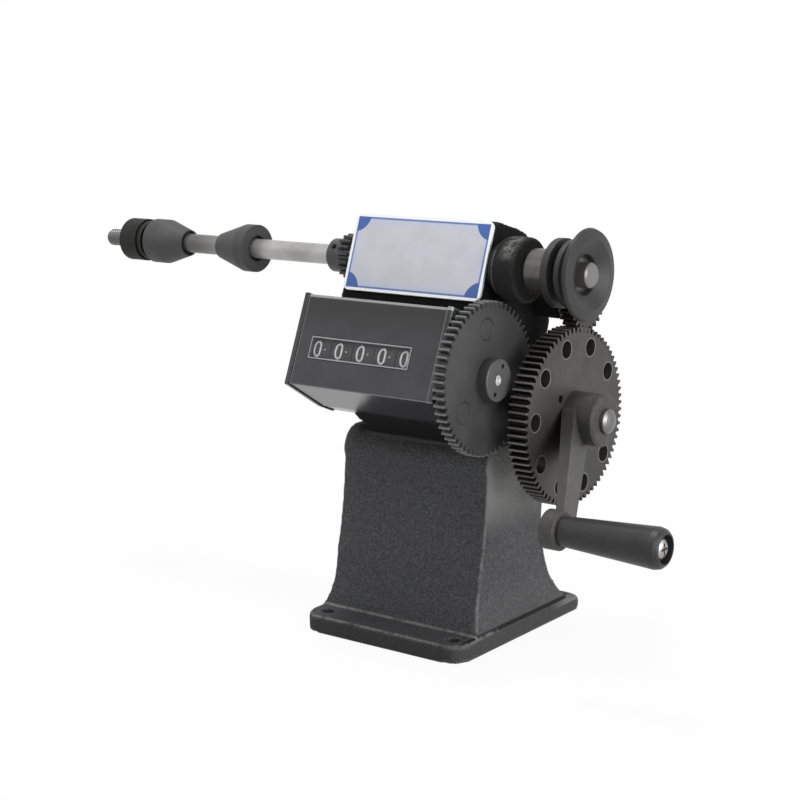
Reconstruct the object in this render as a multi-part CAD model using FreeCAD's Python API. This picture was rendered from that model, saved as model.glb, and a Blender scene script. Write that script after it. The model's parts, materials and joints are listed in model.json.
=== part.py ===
import FreeCAD, Part
import math
import os
from FreeCAD import Vector

# Hand-cranked bench winder for wire coils, with a five-digit turns counter.
# Millimetres. +X runs along the winding spindle towards the pulley and crank,
# +Y points to the back, +Z up. The origin is the middle of the base's underside.

os.makedirs("parts", exist_ok=True)

# ---- base and casting ----
BASE_WIDTH = 87.0
BASE_DEPTH = 100.0
BASE_THICK = 8.0
BASE_FALL_Y = 30.0          # behind this line the top of the base falls away
BASE_BACK_THICK = 5.0
BASE_CORNER = 9.0
BOLT_SPAN_X = 69.0
BOLT_SPAN_Y = 84.0
BOLT_HOLE = 6.0
COLUMN_HALF = 39.5          # half width of the column across X
SHELF_Z = 88.5              # top of the column
COLUMN_FOOT_Z = 7.0          # the column is cast into the base plate
CAST_WALL = 6.5
NECK_LEFT = -26.0
HEAD_LEFT = -36.0
HEAD_RIGHT = 38.0
SPINDLE_FACE = 54.0         # right end of the spindle boss
LAY_FACE = 52.0             # right end of the layshaft boss

# ---- shaft axes, as (Y, Z) ----
SPINDLE = (-10.6, 163.6)
CRANK = (8.1, 99.2)
COUNTER_SIDE = 151.6        # direction from crank to counter axis, degrees above +Y

# ---- shaft sizes ----
WINDING_DIA = 9.0
SPINDLE_DIA = 10.5
SPINDLE_LEFT = -195.0
SPINDLE_RIGHT = 84.0
THREAD_DIA = 8.0
THREAD_END = -166.0
LAY_DIA = 8.0
CRANK_DIA = 10.5
INPUT_DIA = 5.0
RUN_GAP = 0.04              # radial running clearance

# ---- gears ----
PRESSURE = math.radians(20.0)
THINNING = 0.08             # tooth thinning for backlash, in modules
CRANK_MODULE = 1.0
DRIVE_TEETH = 75
LAY_PINION_TEETH = 25
SPINDLE_MODULE = 1.0
LAY_GEAR_TEETH = 48
SPINDLE_PINION_TEETH = 18
COUNTER_MODULE = 1.05
COUNTER_DRIVE_TEETH = 24
COUNTER_GEAR_TEETH = 60
DIGIT_MODULE = 0.6
DIGIT_ADDENDUM = 0.7        # short teeth, so the ten-tooth pinion runs free
INPUT_PINION_TEETH = 20
UNITS_PINION_TEETH = 10

# ---- gear planes along X ----
DRIVE_X = (55.0, 64.0)
LAY_PINION_X = (57.0, 64.0)
COUNTER_DRIVE_X = (41.0, 46.5)
COUNTER_GEAR_X = (41.2, 46.2)
LAY_GEAR_X = (-42.8, -37.2)
SPINDLE_PINION_X = (-43.3, -37.0)
DIGIT_GEAR_X = (27.0, 30.4)

# ---- counter, in its own upright frame about the input shaft ----
COUNTER_TILT = 23.0
COUNTER_X = (-40.0, 39.0)
CASE_FRONT = -25.6
CASE_BACK = 9.0
CASE_TOP = 23.6
CASE_LIP = -17.2            # lower edge of the front face
CASE_BOTTOM = -21.3
CASE_WALL = 1.2
CASE_END = 2.5
WINDOW_X = (-30.4, 23.0)
WINDOW_Z = (-4.7, 5.0)
DIGITS = 5
DIGIT_PITCH = 11.6
DIGIT_FIRST_X = -26.0
DIGIT_WIDTH = 10.9
DIGIT_RADIUS = 14.6
WHEEL_SHAFT_DIA = 3.0

# ---- name plate ----
PLATE_TILT = 20.4
PLATE_X = (-35.0, 38.0)
PLATE_HEIGHT = 34.4
PLATE_THICK = 1.2
PLATE_MID = (-19.0, 167.1)

# ---- crank ----
CRANK_RADIUS = 66.2
CRANK_LEAN = 61.25          # degrees in front of straight down
CRANK_BOSS_X = (64.0, 79.0)
ARM_ROOT_X = (60.9, 67.7)   # the arm slants outwards, past the pulley and the spindle's end
ARM_TIP_X = (92.7, 96.0)
GRIP_BOSS_X = (88.2, 95.0)
GRIP_X = (95.3, 141.0)
CRANK_END = 82.4

# ---- winding end: cones, washer, nut and pinion hub ----
CONE_RIM_R = 10.5
CONE_BACK_R = 11.0
CONE_LEFT_X = (-165.5, -162.7, -154.6, -141.2)      # hub, rim, end of cylinder, tip
CONE_RIGHT_X = (-119.2, -103.6, -97.9)              # tip, start of cylinder, rim
WASHER_X = (CONE_LEFT_X[0] - 2.9, CONE_LEFT_X[0])
NUT_X = (-181.2, WASHER_X[0])
NUT_R = 10.1
PINION_HUB_R = 7.5
PINION_SCREW_X = SPINDLE_PINION_X[0] - 3.4
PINION_SCREW_ANGLE = math.radians(142)

# ---- pulley end ----
COLLAR_X = (SPINDLE_FACE + 2.1, SPINDLE_FACE + 13.6)
COLLAR_SCREW_ANGLE = math.radians(65)
SPIGOT_R = 7.0
SPIGOT_LENGTH = 10.4
BOSS_R = 13.8
NOSE_R = 8.4                # plain nose of the spindle boss, behind the collar

# ---- gear hubs, holes and screws ----
SET_SCREW_R = 1.5
LAY_PINION_HUB = (LAY_FACE + 0.15, LAY_PINION_X[0] + 0.5)
LAY_PINION_SCREW_X = LAY_FACE + 1.9
LAY_GEAR_HUB = (LAY_GEAR_X[0] - 5.4, LAY_GEAR_X[0] + 0.5)
LAY_GEAR_SCREW_X = LAY_GEAR_X[0] - 2.7
HOLES = 10
HOLE_START = 30.5
HOLE_CIRCLE = 30.8
DRIVE_PINION_SCREW_X = (COUNTER_DRIVE_X[1] + DRIVE_X[0]) / 2
CRANK_COLLAR_X = (NECK_LEFT - 6.2, NECK_LEFT - 0.15)
CRANK_PIN_X = 75.5
CRANK_PIN_R = 2.0
CRANK_PIN_ANGLE = math.radians(60)
GRIP_SCREW_R = 2.5
MOUNT_SCREW_R = 1.5
END_SCREW_R = 1.1
INPUT_BUSH_R = 4.5

X_AXIS = Vector(1, 0, 0)
ORIGIN = Vector(0, 0, 0)


# ---- shape helpers ----
def on_circle(centre, radius, angle):
    """The (Y, Z) point at an angle, in radians above +Y."""
    return (centre[0] + radius * math.cos(angle), centre[1] + radius * math.sin(angle))


def bar(x0, x1, radius, axis):
    """A round bar along X about a (Y, Z) axis."""
    return Part.makeCylinder(radius, x1 - x0, Vector(x0, axis[0], axis[1]), X_AXIS)


def tube(x0, x1, outer, inner, axis):
    """A round sleeve along X."""
    return bar(x0, x1, outer, axis).cut(bar(x0 - 1, x1 + 1, inner, axis))


def turned(outline, axis):
    """Turn a closed (x, radius) outline about a (Y, Z) axis.

    A corner is a pair; an arc is ("arc", middle, end)."""
    edges = outline_edges(outline, lambda x, r: Vector(x, 0, r))
    solid = Part.Face(Part.Wire(edges)).revolve(ORIGIN, X_AXIS, 360)
    solid.translate(Vector(0, axis[0], axis[1]))
    return solid


def outline_edges(outline, place):
    """Edges of a closed outline of corners and arcs, with its points placed by a function."""
    start = outline[0]
    edges = []
    here = start
    for step in outline[1:] + [start]:
        if step[0] == "arc":
            middle, end = step[1], step[2]
            edges.append(Part.Arc(place(*here), place(*middle), place(*end)).toShape())
            here = end
        elif math.dist(step, here) > 1e-6:
            edges.append(Part.LineSegment(place(*here), place(*step)).toShape())
            here = step
    return edges


def slab(outline, x0, x1):
    """Extrude a closed (y, z) outline along X."""
    edges = outline_edges(outline, lambda y, z: Vector(x0, y, z))
    return Part.Face(Part.Wire(edges)).extrude(Vector(x1 - x0, 0, 0))


def tilted(shape, axis, tilt):
    """Lean a shape back about X and move its origin to a (Y, Z) axis."""
    shape.rotate(ORIGIN, X_AXIS, -tilt)
    shape.translate(Vector(0, axis[0], axis[1]))
    return shape


def tilted_point(point, axis, tilt):
    """Where tilted() takes a (y, z) point."""
    lean = math.radians(tilt)
    y, z = point
    return (axis[0] + y * math.cos(lean) + z * math.sin(lean),
            axis[1] - y * math.sin(lean) + z * math.cos(lean))


def radial_hole(x, axis, radius, depth, angle):
    """A round hole or pin pointing out from an axis, from its centre to a depth."""
    aim = Vector(0, math.cos(angle), math.sin(angle))
    return Part.makeCylinder(radius, depth, Vector(x, axis[0], axis[1]), aim)


def radial_pin(x, axis, radius, start, end, angle):
    """A round pin between two distances from an axis."""
    aim = Vector(0, math.cos(angle), math.sin(angle))
    return Part.makeCylinder(radius, end - start, Vector(x, axis[0], axis[1]) + aim * start, aim)


def hull_of_circles(centre_a, radius_a, centre_b, radius_b, x0, x1):
    """A flat arm: two rounds joined by their outer tangents."""
    dy = centre_b[0] - centre_a[0]
    dz = centre_b[1] - centre_a[1]
    gap = math.hypot(dy, dz)
    aim = math.atan2(dz, dy)
    spread = math.acos((radius_a - radius_b) / gap)
    outline = [
        on_circle(centre_a, radius_a, aim + spread),
        ("arc", on_circle(centre_a, radius_a, aim + math.pi),
         on_circle(centre_a, radius_a, aim - spread)),
        on_circle(centre_b, radius_b, aim - spread),
        ("arc", on_circle(centre_b, radius_b, aim),
         on_circle(centre_b, radius_b, aim + spread)),
    ]
    return slab(outline, x0, x1)


# ---- gear geometry ----
def involute(angle):
    return math.tan(angle) - angle


def half_tooth(radius, teeth, module):
    """Half the angle that a tooth spans at a radius."""
    pitch_radius = module * teeth / 2
    base_radius = pitch_radius * math.cos(PRESSURE)
    at_pitch = math.pi / (2 * teeth) - THINNING * module / (2 * pitch_radius)
    roll = math.acos(min(1.0, base_radius / radius))
    return at_pitch + involute(PRESSURE) - involute(roll)


def gear_blank(teeth, module, x0, x1, axis, phase, addendum=1.0):
    """A toothed disc: involute flanks drawn as chords from root to pitch line to tip."""
    pitch_radius = module * teeth / 2
    root = pitch_radius - 1.25 * module
    tip = pitch_radius + addendum * module
    flank = [(r, half_tooth(r, teeth, module)) for r in (root, pitch_radius, tip)]
    outline = []
    for tooth in range(teeth):
        middle = phase + tooth * 2 * math.pi / teeth
        outline += [on_circle(axis, r, middle - half) for r, half in flank]
        outline += [on_circle(axis, r, middle + half) for r, half in reversed(flank)]
    return slab(outline, x0, x1)


def mesh_phase(driver_teeth, driver_phase, teeth, direction):
    """Phase that puts a gap of the driven gear on a tooth of the driver.

    direction is the angle from the driver's axis to the driven one."""
    driver_offset = (direction - driver_phase) * driver_teeth / (2 * math.pi)
    return direction + math.pi - (0.5 - driver_offset) * 2 * math.pi / teeth


def aim_angle(start, end):
    return math.atan2(end[1] - start[1], end[0] - start[0])


def centre_distance(teeth_a, teeth_b, module):
    return (teeth_a + teeth_b) * module / 2


def third_corner(start, start_gap, end, end_gap):
    """The point at given distances from two axes, on the back side of their line."""
    span = math.dist(start, end)
    along = (start_gap ** 2 - end_gap ** 2 + span ** 2) / (2 * span)
    across = math.sqrt(start_gap ** 2 - along ** 2)
    unit = ((end[0] - start[0]) / span, (end[1] - start[1]) / span)
    return (start[0] + along * unit[0] + across * unit[1],
            start[1] + along * unit[1] - across * unit[0])


# ---- worked-out axes and phases ----
LAY = third_corner(CRANK, centre_distance(DRIVE_TEETH, LAY_PINION_TEETH, CRANK_MODULE),
                   SPINDLE, centre_distance(LAY_GEAR_TEETH, SPINDLE_PINION_TEETH, SPINDLE_MODULE))
COUNTER = on_circle(CRANK, centre_distance(COUNTER_DRIVE_TEETH, COUNTER_GEAR_TEETH, COUNTER_MODULE),
                    math.radians(COUNTER_SIDE))
WHEEL_OFFSET = centre_distance(INPUT_PINION_TEETH, UNITS_PINION_TEETH, DIGIT_MODULE)
WHEELS = tilted_point((-WHEEL_OFFSET, 0), COUNTER, COUNTER_TILT)
GRIP = on_circle(CRANK, CRANK_RADIUS, math.radians(-90 - CRANK_LEAN))

LAY_PINION_PHASE = mesh_phase(DRIVE_TEETH, 0, LAY_PINION_TEETH, aim_angle(CRANK, LAY))
SPINDLE_PINION_PHASE = mesh_phase(LAY_GEAR_TEETH, 0, SPINDLE_PINION_TEETH,
                                  aim_angle(LAY, SPINDLE))
COUNTER_GEAR_PHASE = mesh_phase(COUNTER_DRIVE_TEETH, 0, COUNTER_GEAR_TEETH,
                                aim_angle(CRANK, COUNTER))
UNITS_PINION_PHASE = mesh_phase(INPUT_PINION_TEETH, 0, UNITS_PINION_TEETH,
                                aim_angle(COUNTER, WHEELS))

# ---- bushes: (outer radius, x0, x1) ----
SPINDLE_BUSH_R = 6.5
LAY_BUSH_R = 5.5
CRANK_BUSH_R = 7.0
SPINDLE_BUSH_LEFT = (HEAD_LEFT, HEAD_LEFT + 12)
SPINDLE_BUSH_RIGHT = (COLLAR_X[0] - 14.15, COLLAR_X[0] - 0.15)
LAY_BUSH_LEFT = (HEAD_LEFT, HEAD_LEFT + 10)
LAY_BUSH_RIGHT = (LAY_FACE - 10, LAY_FACE)
CRANK_BUSH_LEFT = (NECK_LEFT, NECK_LEFT + 12)
CRANK_BUSH_RIGHT = (COLUMN_HALF - 12, COLUMN_HALF)
CORED = 1.0                 # the bore between two bushes is this much wider than the shaft

# ---- counter screws, as (x, z) in the counter's frame ----
MOUNT_SCREWS = [(x, z) for x in (-12.0, 25.0) for z in (-15.0, 17.5)]
END_SCREWS = [(-20.5, 19.5), (3.5, 19.5), (3.5, -17.0), (-20.5, -12.5)]


# ---- casting ----
def column_outline():
    """Side view of the flared column up to its shelf, as (y, z)."""
    return [
        (-36.0, COLUMN_FOOT_Z),
        ("arc", (-31.6, 18.0), (-28.6, 33.0)),
        ("arc", (-24.2, 53.0), (-21.8, 75.0)),
        ("arc", (-20.0, 84.5), (-14.0, 88.2)),
        (-9.0, SHELF_Z + 0.8),
        (21.8, SHELF_Z),
        (20.0, 52.0),
        ("arc", (23.2, 27.0), (36.5, COLUMN_FOOT_Z)),
    ]


def column_front():
    """Front view of the column, as (x, z), flared at the foot."""
    half = COLUMN_HALF
    foot = half + 3.4
    return [
        (-foot, COLUMN_FOOT_Z),
        ("arc", (-half - 1.2, 14.0), (-half, 26.0)),
        (-half, SHELF_Z),
        (half, SHELF_Z),
        (half, 26.0),
        ("arc", (half + 1.2, 14.0), (foot, COLUMN_FOOT_Z)),
    ]


def column():
    side = slab(column_outline(), -60, 60)
    edges = outline_edges(column_front(), lambda x, z: Vector(x, -60, z))
    front = Part.Face(Part.Wire(edges)).extrude(Vector(0, 120, 0))
    return side.common(front)


def base_plate():
    plate = Part.makeBox(BASE_WIDTH, BASE_DEPTH, BASE_THICK,
                         Vector(-BASE_WIDTH / 2, -BASE_DEPTH / 2, 0))
    upright = [e for e in plate.Edges if abs(e.Vertexes[0].Z - e.Vertexes[1].Z) > 1]
    plate = plate.makeFillet(BASE_CORNER, upright)
    back = BASE_DEPTH / 2
    plate = plate.cut(slab([(BASE_FALL_Y, BASE_THICK), (back, BASE_BACK_THICK),
                            (back + 1, BASE_BACK_THICK), (back + 1, BASE_THICK + 1),
                            (BASE_FALL_Y, BASE_THICK + 1)], -BASE_WIDTH, BASE_WIDTH))
    rim = [e for e in plate.Edges if e.BoundBox.ZMin > BASE_BACK_THICK - 0.01
           and not (abs(e.BoundBox.YMin - BASE_FALL_Y) < 0.01 and e.BoundBox.YLength < 0.01)]
    return plate.makeChamfer(1.2, rim)


def neck_outline():
    """Side view of the neck between the shelf and the head, with the counter's seat."""
    seat_low = tilted_point((CASE_BACK, CASE_BOTTOM), COUNTER, COUNTER_TILT)
    seat_high = tilted_point((CASE_BACK, CASE_TOP + 3.0), COUNTER, COUNTER_TILT)
    return [
        (-17.0, SHELF_Z - 4),
        (-20.0, SHELF_Z - 0.5),
        seat_low,
        seat_high,
        (-8.0, 150.0),
        (24.0, 150.0),
        (26.5, 136.0),
        ("arc", (22.5, 121.0), (21.5, 106.0)),
        (20.5, SHELF_Z - 4),
    ]


def head_outline():
    """Side view of the head: plate face in front, layshaft boss behind."""
    underside_back = tilted_point((CASE_BACK, CASE_TOP + 3.0), COUNTER, COUNTER_TILT)
    underside_front = tilted_point((CASE_BACK - 14.2, CASE_TOP + 3.0), COUNTER, COUNTER_TILT)
    face_top = tilted_point((PLATE_THICK / 2, PLATE_HEIGHT / 2 - 0.4), PLATE_MID, PLATE_TILT)
    face_low = tilted_point((PLATE_THICK / 2, -PLATE_HEIGHT / 2 - 3.4), PLATE_MID, PLATE_TILT)
    boss = 11.5
    return [
        underside_front,
        face_low,
        face_top,
        ("arc", (-10.4, 182.9), (-7.0, 182.0)),
        (4.5, 178.6),
        ("arc", (13.2, 174.0), (20.6, 166.8)),
        on_circle(LAY, boss, math.radians(38)),
        ("arc", on_circle(LAY, boss, 0), on_circle(LAY, boss, math.radians(-52))),
        (22.0, 137.0),
        (-4.0, 137.0),
        underside_back,
    ]


def cast_bosses():
    """Raised bearing bosses on the right-hand end, the upper one coned beside the plate."""
    nose_end = COLLAR_X[0] - 0.15
    spindle_boss = turned([(HEAD_RIGHT - 1, 0), (HEAD_RIGHT - 1, NOSE_R), (HEAD_RIGHT, NOSE_R),
                           (HEAD_RIGHT + 2.0, 11.0), (HEAD_RIGHT + 6.0, BOSS_R),
                           (SPINDLE_FACE - 0.6, BOSS_R), (SPINDLE_FACE, BOSS_R - 0.6),
                           (SPINDLE_FACE, NOSE_R), (nose_end, NOSE_R), (nose_end, 0)], SPINDLE)
    lay_boss = bar(HEAD_RIGHT - 2, LAY_FACE, 9.0, LAY)
    return spindle_boss.fuse(lay_boss)


def underside_pocket():
    """The cored hollow under the column."""
    low, high = 0.0, 70.0

    def frame(z, x_half, y_front, y_back):
        corners = [Vector(-x_half, y_front, z), Vector(x_half, y_front, z),
                   Vector(x_half, y_back, z), Vector(-x_half, y_back, z)]
        return Part.makePolygon(corners + corners[:1])

    wide = COLUMN_HALF - CAST_WALL
    foot = frame(low, wide, -24.5, 15.0)
    top = frame(high, wide - 1.5, -16.0, 11.0)
    return Part.makeLoft([foot, top], True)


def frame_casting():
    casting = base_plate().fuse(column())
    casting = casting.fuse(slab(neck_outline(), NECK_LEFT, COLUMN_HALF))
    casting = casting.fuse(slab(head_outline(), HEAD_LEFT, HEAD_RIGHT))
    casting = casting.fuse(cast_bosses())
    casting = casting.cut(underside_pocket())
    holes = [
        bar(HEAD_LEFT - 1, COLLAR_X[0], SPINDLE_DIA / 2 + CORED / 2, SPINDLE),
        bar(SPINDLE_BUSH_LEFT[0] - 1, SPINDLE_BUSH_LEFT[1], SPINDLE_BUSH_R, SPINDLE),
        bar(SPINDLE_BUSH_RIGHT[0], SPINDLE_BUSH_RIGHT[1] + 1, SPINDLE_BUSH_R, SPINDLE),
        bar(HEAD_LEFT - 1, LAY_FACE + 1, LAY_DIA / 2 + CORED / 2, LAY),
        bar(LAY_BUSH_LEFT[0] - 1, LAY_BUSH_LEFT[1], LAY_BUSH_R, LAY),
        bar(LAY_BUSH_RIGHT[0], LAY_BUSH_RIGHT[1] + 1, LAY_BUSH_R, LAY),
        bar(NECK_LEFT - 1, COLUMN_HALF + 1, CRANK_DIA / 2 + CORED / 2, CRANK),
        bar(CRANK_BUSH_LEFT[0] - 1, CRANK_BUSH_LEFT[1], CRANK_BUSH_R, CRANK),
        bar(CRANK_BUSH_RIGHT[0], CRANK_BUSH_RIGHT[1] + 1, CRANK_BUSH_R, CRANK),
    ]
    for x in (-BOLT_SPAN_X / 2, BOLT_SPAN_X / 2):
        for y in (-BOLT_SPAN_Y / 2, BOLT_SPAN_Y / 2):
            holes.append(Part.makeCylinder(BOLT_HOLE / 2, BASE_THICK + 2, Vector(x, y, -1)))
    for x, z in MOUNT_SCREWS:
        hole = Part.makeCylinder(MOUNT_SCREW_R, 8.0, Vector(x, CASE_BACK - 0.5, z),
                                 Vector(0, 1, 0))
        holes.append(tilted(hole, COUNTER, COUNTER_TILT))
    for hole in holes:
        casting = casting.cut(hole)
    return casting.removeSplitter()


def bush(span, outer, shaft_dia, axis):
    return tube(span[0], span[1], outer, shaft_dia / 2 + RUN_GAP, axis)


# ---- winding spindle ----
def spindle_shaft():
    left, right = SPINDLE_LEFT, SPINDLE_RIGHT
    thread, winding, journal = THREAD_DIA / 2, WINDING_DIA / 2, SPINDLE_DIA / 2
    shoulder = HEAD_LEFT + 0.2
    return turned([
        (left, 0), (left, thread * 0.5), (left + 0.5, thread * 0.8), (left + 1.8, thread),
        (THREAD_END, thread), (THREAD_END, winding),
        (shoulder, winding), (shoulder, journal),
        (right - 0.8, journal), (right, journal - 0.8), (right, 0)], SPINDLE)


def spindle_pinion():
    """Plastic pinion with a hub, on the left end of the head."""
    x0, x1 = SPINDLE_PINION_X
    hub_left = x0 - 7.5
    teeth = gear_blank(SPINDLE_PINION_TEETH, SPINDLE_MODULE, x0, x1, SPINDLE,
                       SPINDLE_PINION_PHASE)
    hub = turned([(hub_left, 0), (hub_left, PINION_HUB_R - 0.7), (hub_left + 0.7, PINION_HUB_R),
                  (x0 + 0.5, PINION_HUB_R), (x0 + 0.5, 0)], SPINDLE)
    body = teeth.fuse(hub)
    body = body.cut(bar(hub_left - 1, x1 + 1, WINDING_DIA / 2, SPINDLE))
    return body.cut(radial_hole(PINION_SCREW_X, SPINDLE, 1.5, 12, PINION_SCREW_ANGLE))


def spindle_thrust_washer():
    return tube(SPINDLE_PINION_X[1], HEAD_LEFT - 0.1, 8.0, WINDING_DIA / 2, SPINDLE)


def spindle_collar():
    """Steel hub: a round collar by the bush, and a spigot that the pulley is pressed on."""
    x0, x1 = COLLAR_X
    ring = turned([(x0, 0), (x0, 9.1), (x0 + 0.4, 9.5), (x1, 9.5), (x1, SPIGOT_R),
                   (x1 + SPIGOT_LENGTH, SPIGOT_R), (x1 + SPIGOT_LENGTH, 0)], SPINDLE)
    ring = ring.cut(bar(x0 - 1, x1 + SPIGOT_LENGTH + 1, SPINDLE_DIA / 2, SPINDLE))
    return ring.cut(radial_hole((x0 + x1) / 2, SPINDLE, 2.0, 12, COLLAR_SCREW_ANGLE))


def pulley():
    """Belt pulley: a narrow two-flange groove and a flared outer rim with a dished face."""
    x0 = COLLAR_X[1]
    body = turned([
        (x0, 0), (x0, 14.4), (x0 + 3.1, 14.4), (x0 + 4.3, 10.6), (x0 + 5.1, 10.6),
        (x0 + 6.3, 14.1), (x0 + 8.5, 14.1), (x0 + 9.4, 12.9), (x0 + 11.0, 14.4),
        (x0 + 12.6, 17.9), (x0 + 13.9, 19.2), (x0 + 15.3, 18.6), (x0 + 16.1, 14.6),
        (x0 + 13.0, 8.4), (x0 + SPIGOT_LENGTH, SPIGOT_R + 0.6),
        (x0 + SPIGOT_LENGTH, 0)], SPINDLE)
    return body.cut(bar(x0 - 1, x0 + SPIGOT_LENGTH + 1, SPIGOT_R, SPINDLE))


# ---- cones, washer and nut on the winding end ----
def cone_left():
    """Centring cone at the nut: a short hub, a cylinder and a taper to the right."""
    hub_x, rim_x, land_x, tip_x = CONE_LEFT_X
    bore = WINDING_DIA / 2 + RUN_GAP
    return turned([
        (hub_x, bore), (hub_x, 7.0), (rim_x, 7.0), (rim_x, CONE_RIM_R),
        (land_x, CONE_RIM_R), (tip_x, 6.2), (tip_x, 5.6),
        (tip_x - 2.4, 5.6), (tip_x - 2.4, bore)], SPINDLE)


def cone_right():
    """Centring cone facing the nut, with a recessed back face."""
    tip_x, land_x, rim_x = CONE_RIGHT_X
    bore = WINDING_DIA / 2 + RUN_GAP
    return turned([
        (tip_x, bore), (tip_x, 6.0), (land_x, CONE_BACK_R),
        (rim_x, CONE_BACK_R), (rim_x, 6.0), (rim_x - 3.0, 6.0), (rim_x - 3.0, bore)], SPINDLE)


def clamp_washer():
    return tube(WASHER_X[0], WASHER_X[1], 9.3, WINDING_DIA / 2 + RUN_GAP, SPINDLE)


def clamp_nut():
    """Round finger nut with a tapered outer end."""
    x0, x1 = NUT_X
    nut = turned([(x0, 0), (x0, 7.0), (x0 + 2.3, NUT_R), (x1, NUT_R), (x1, 0)], SPINDLE)
    return nut.cut(bar(x0 - 1, x1 + 1, THREAD_DIA / 2 + RUN_GAP, SPINDLE))


# ---- layshaft ----
def lay_shaft():
    left, right = LAY_GEAR_X[0] - 6.4, DRIVE_X[1] + 2.5
    r = LAY_DIA / 2
    return turned([(left, 0), (left, r - 0.6), (left + 0.6, r), (right - 0.6, r),
                   (right, r - 0.6), (right, 0)], LAY)


def hubbed_gear(teeth, module, span, axis, phase, bore, hub_r, hub_span, screw_x, screw_angle):
    """A gear with a hub on one side, bored for its shaft and drilled for a set screw."""
    body = gear_blank(teeth, module, span[0], span[1], axis, phase)
    body = body.fuse(bar(hub_span[0], hub_span[1], hub_r, axis))
    body = body.cut(bar(hub_span[0] - 20, hub_span[1] + 20, bore, axis))
    return body.cut(radial_hole(screw_x, axis, SET_SCREW_R, hub_r + 1, screw_angle))


def set_screw(x, axis, shaft_dia, hub_r, angle):
    """A headless set screw with a hex socket, just below the hub's surface."""
    start, end = shaft_dia / 2, hub_r - 0.3
    screw = radial_pin(x, axis, SET_SCREW_R, start, end, angle)
    aim = Vector(0, math.cos(angle), math.sin(angle))
    corners = []
    across = Vector(1, 0, 0)
    up = aim.cross(across)
    for corner in range(7):
        turn = corner * math.pi / 3
        corners.append(Vector(x, axis[0], axis[1]) + aim * (end - 1.2)
                       + across * (0.85 * math.cos(turn)) + up * (0.85 * math.sin(turn)))
    socket = Part.Face(Part.makePolygon(corners)).extrude(aim * 3)
    return screw.cut(socket)


def lay_pinion():
    return hubbed_gear(LAY_PINION_TEETH, CRANK_MODULE, LAY_PINION_X, LAY, LAY_PINION_PHASE,
                       LAY_DIA / 2, 8.0, LAY_PINION_HUB, LAY_PINION_SCREW_X, 0.9)


def lay_gear():
    body = hubbed_gear(LAY_GEAR_TEETH, SPINDLE_MODULE, LAY_GEAR_X, LAY, 0,
                       LAY_DIA / 2, 8.0, LAY_GEAR_HUB, LAY_GEAR_SCREW_X, 0.9)
    x1 = LAY_GEAR_X[1]
    return body.cut(tube(x1 - 2.0, x1 + 1, 20.0, 9.0, LAY))


def lay_thrust_washer():
    return tube(LAY_GEAR_X[1], HEAD_LEFT - 0.1, 7.5, LAY_DIA / 2, LAY)


# ---- crank shaft, drive gear and crank ----
def crank_shaft():
    left, right = NECK_LEFT - 7.5, CRANK_END
    r = CRANK_DIA / 2
    return turned([(left, 0), (left, r - 0.8), (left + 0.8, r), (right - 1.6, r),
                   (right - 0.5, r * 0.75), (right, r * 0.4), (right, 0)], CRANK)


def drive_gear():
    """Big crank gear: flat steel disc with ten lightening holes and a dowel hole."""
    x0, x1 = DRIVE_X
    disc = gear_blank(DRIVE_TEETH, CRANK_MODULE, x0, x1, CRANK, 0)
    for hole in range(HOLES):
        angle = math.radians(HOLE_START + hole * 360 / HOLES)
        disc = disc.cut(bar(x0 - 1, x1 + 1, 3.75, on_circle(CRANK, HOLE_CIRCLE, angle)))
    disc = disc.cut(bar(x0 - 1, x1 + 1, 1.8, on_circle(CRANK, 14.9, math.radians(139.7))))
    return disc.cut(bar(x0 - 1, x1 + 4, CRANK_DIA / 2, CRANK))


def counter_drive_pinion():
    x0, x1 = COUNTER_DRIVE_X
    body = gear_blank(COUNTER_DRIVE_TEETH, COUNTER_MODULE, x0, x1, CRANK, 0)
    body = body.fuse(bar(x1 - 0.5, DRIVE_X[0], 9.0, CRANK))
    body = body.cut(bar(x0 - 1, DRIVE_X[0] + 1, CRANK_DIA / 2, CRANK))
    return body.cut(radial_hole(DRIVE_PINION_SCREW_X, CRANK, SET_SCREW_R, 12, 1.2))


def crank_thrust_washer():
    return tube(COLUMN_HALF + 0.15, COUNTER_DRIVE_X[0], 8.5, CRANK_DIA / 2, CRANK)


def crank_shaft_collar():
    x0, x1 = CRANK_COLLAR_X
    ring = tube(x0, x1, 9.0, CRANK_DIA / 2, CRANK)
    return ring.cut(radial_hole((x0 + x1) / 2, CRANK, SET_SCREW_R, 12, 1.2))


def crank_arm():
    """Cast arm that slants outwards, with a long upper boss and an eye for the grip."""
    upper, lower = 11.2, 8.1
    side = on_circle((0, 0), 2.0, math.radians(180 - CRANK_LEAN))
    web_tip = (GRIP[0] - side[0], GRIP[1] - side[1])
    boss = turned([(CRANK_BOSS_X[0], 0), (CRANK_BOSS_X[0], upper),
                   (CRANK_BOSS_X[1] - 0.9, upper), (CRANK_BOSS_X[1], upper - 0.9),
                   (CRANK_BOSS_X[1], 0)], CRANK)
    eye = turned([(GRIP_BOSS_X[0], 0), (GRIP_BOSS_X[0], lower), (GRIP_BOSS_X[1] - 0.7, lower),
                  (GRIP_BOSS_X[1], lower - 0.7), (GRIP_BOSS_X[1], 0)], GRIP)
    web = hull_of_circles(CRANK, upper - 0.6, web_tip, 7.2, CRANK_BOSS_X[0], GRIP_BOSS_X[1])
    arm = boss.fuse(web.common(slanted_band())).fuse(eye)
    arm = arm.cut(bar(CRANK_BOSS_X[0] - 1, CRANK_BOSS_X[1] + 30, CRANK_DIA / 2, CRANK))
    arm = arm.cut(bar(GRIP_BOSS_X[0] - 1, GRIP_BOSS_X[1] + 1, GRIP_SCREW_R, GRIP))
    return arm.cut(radial_hole(CRANK_PIN_X, CRANK, CRANK_PIN_R, 14, CRANK_PIN_ANGLE))


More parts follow.
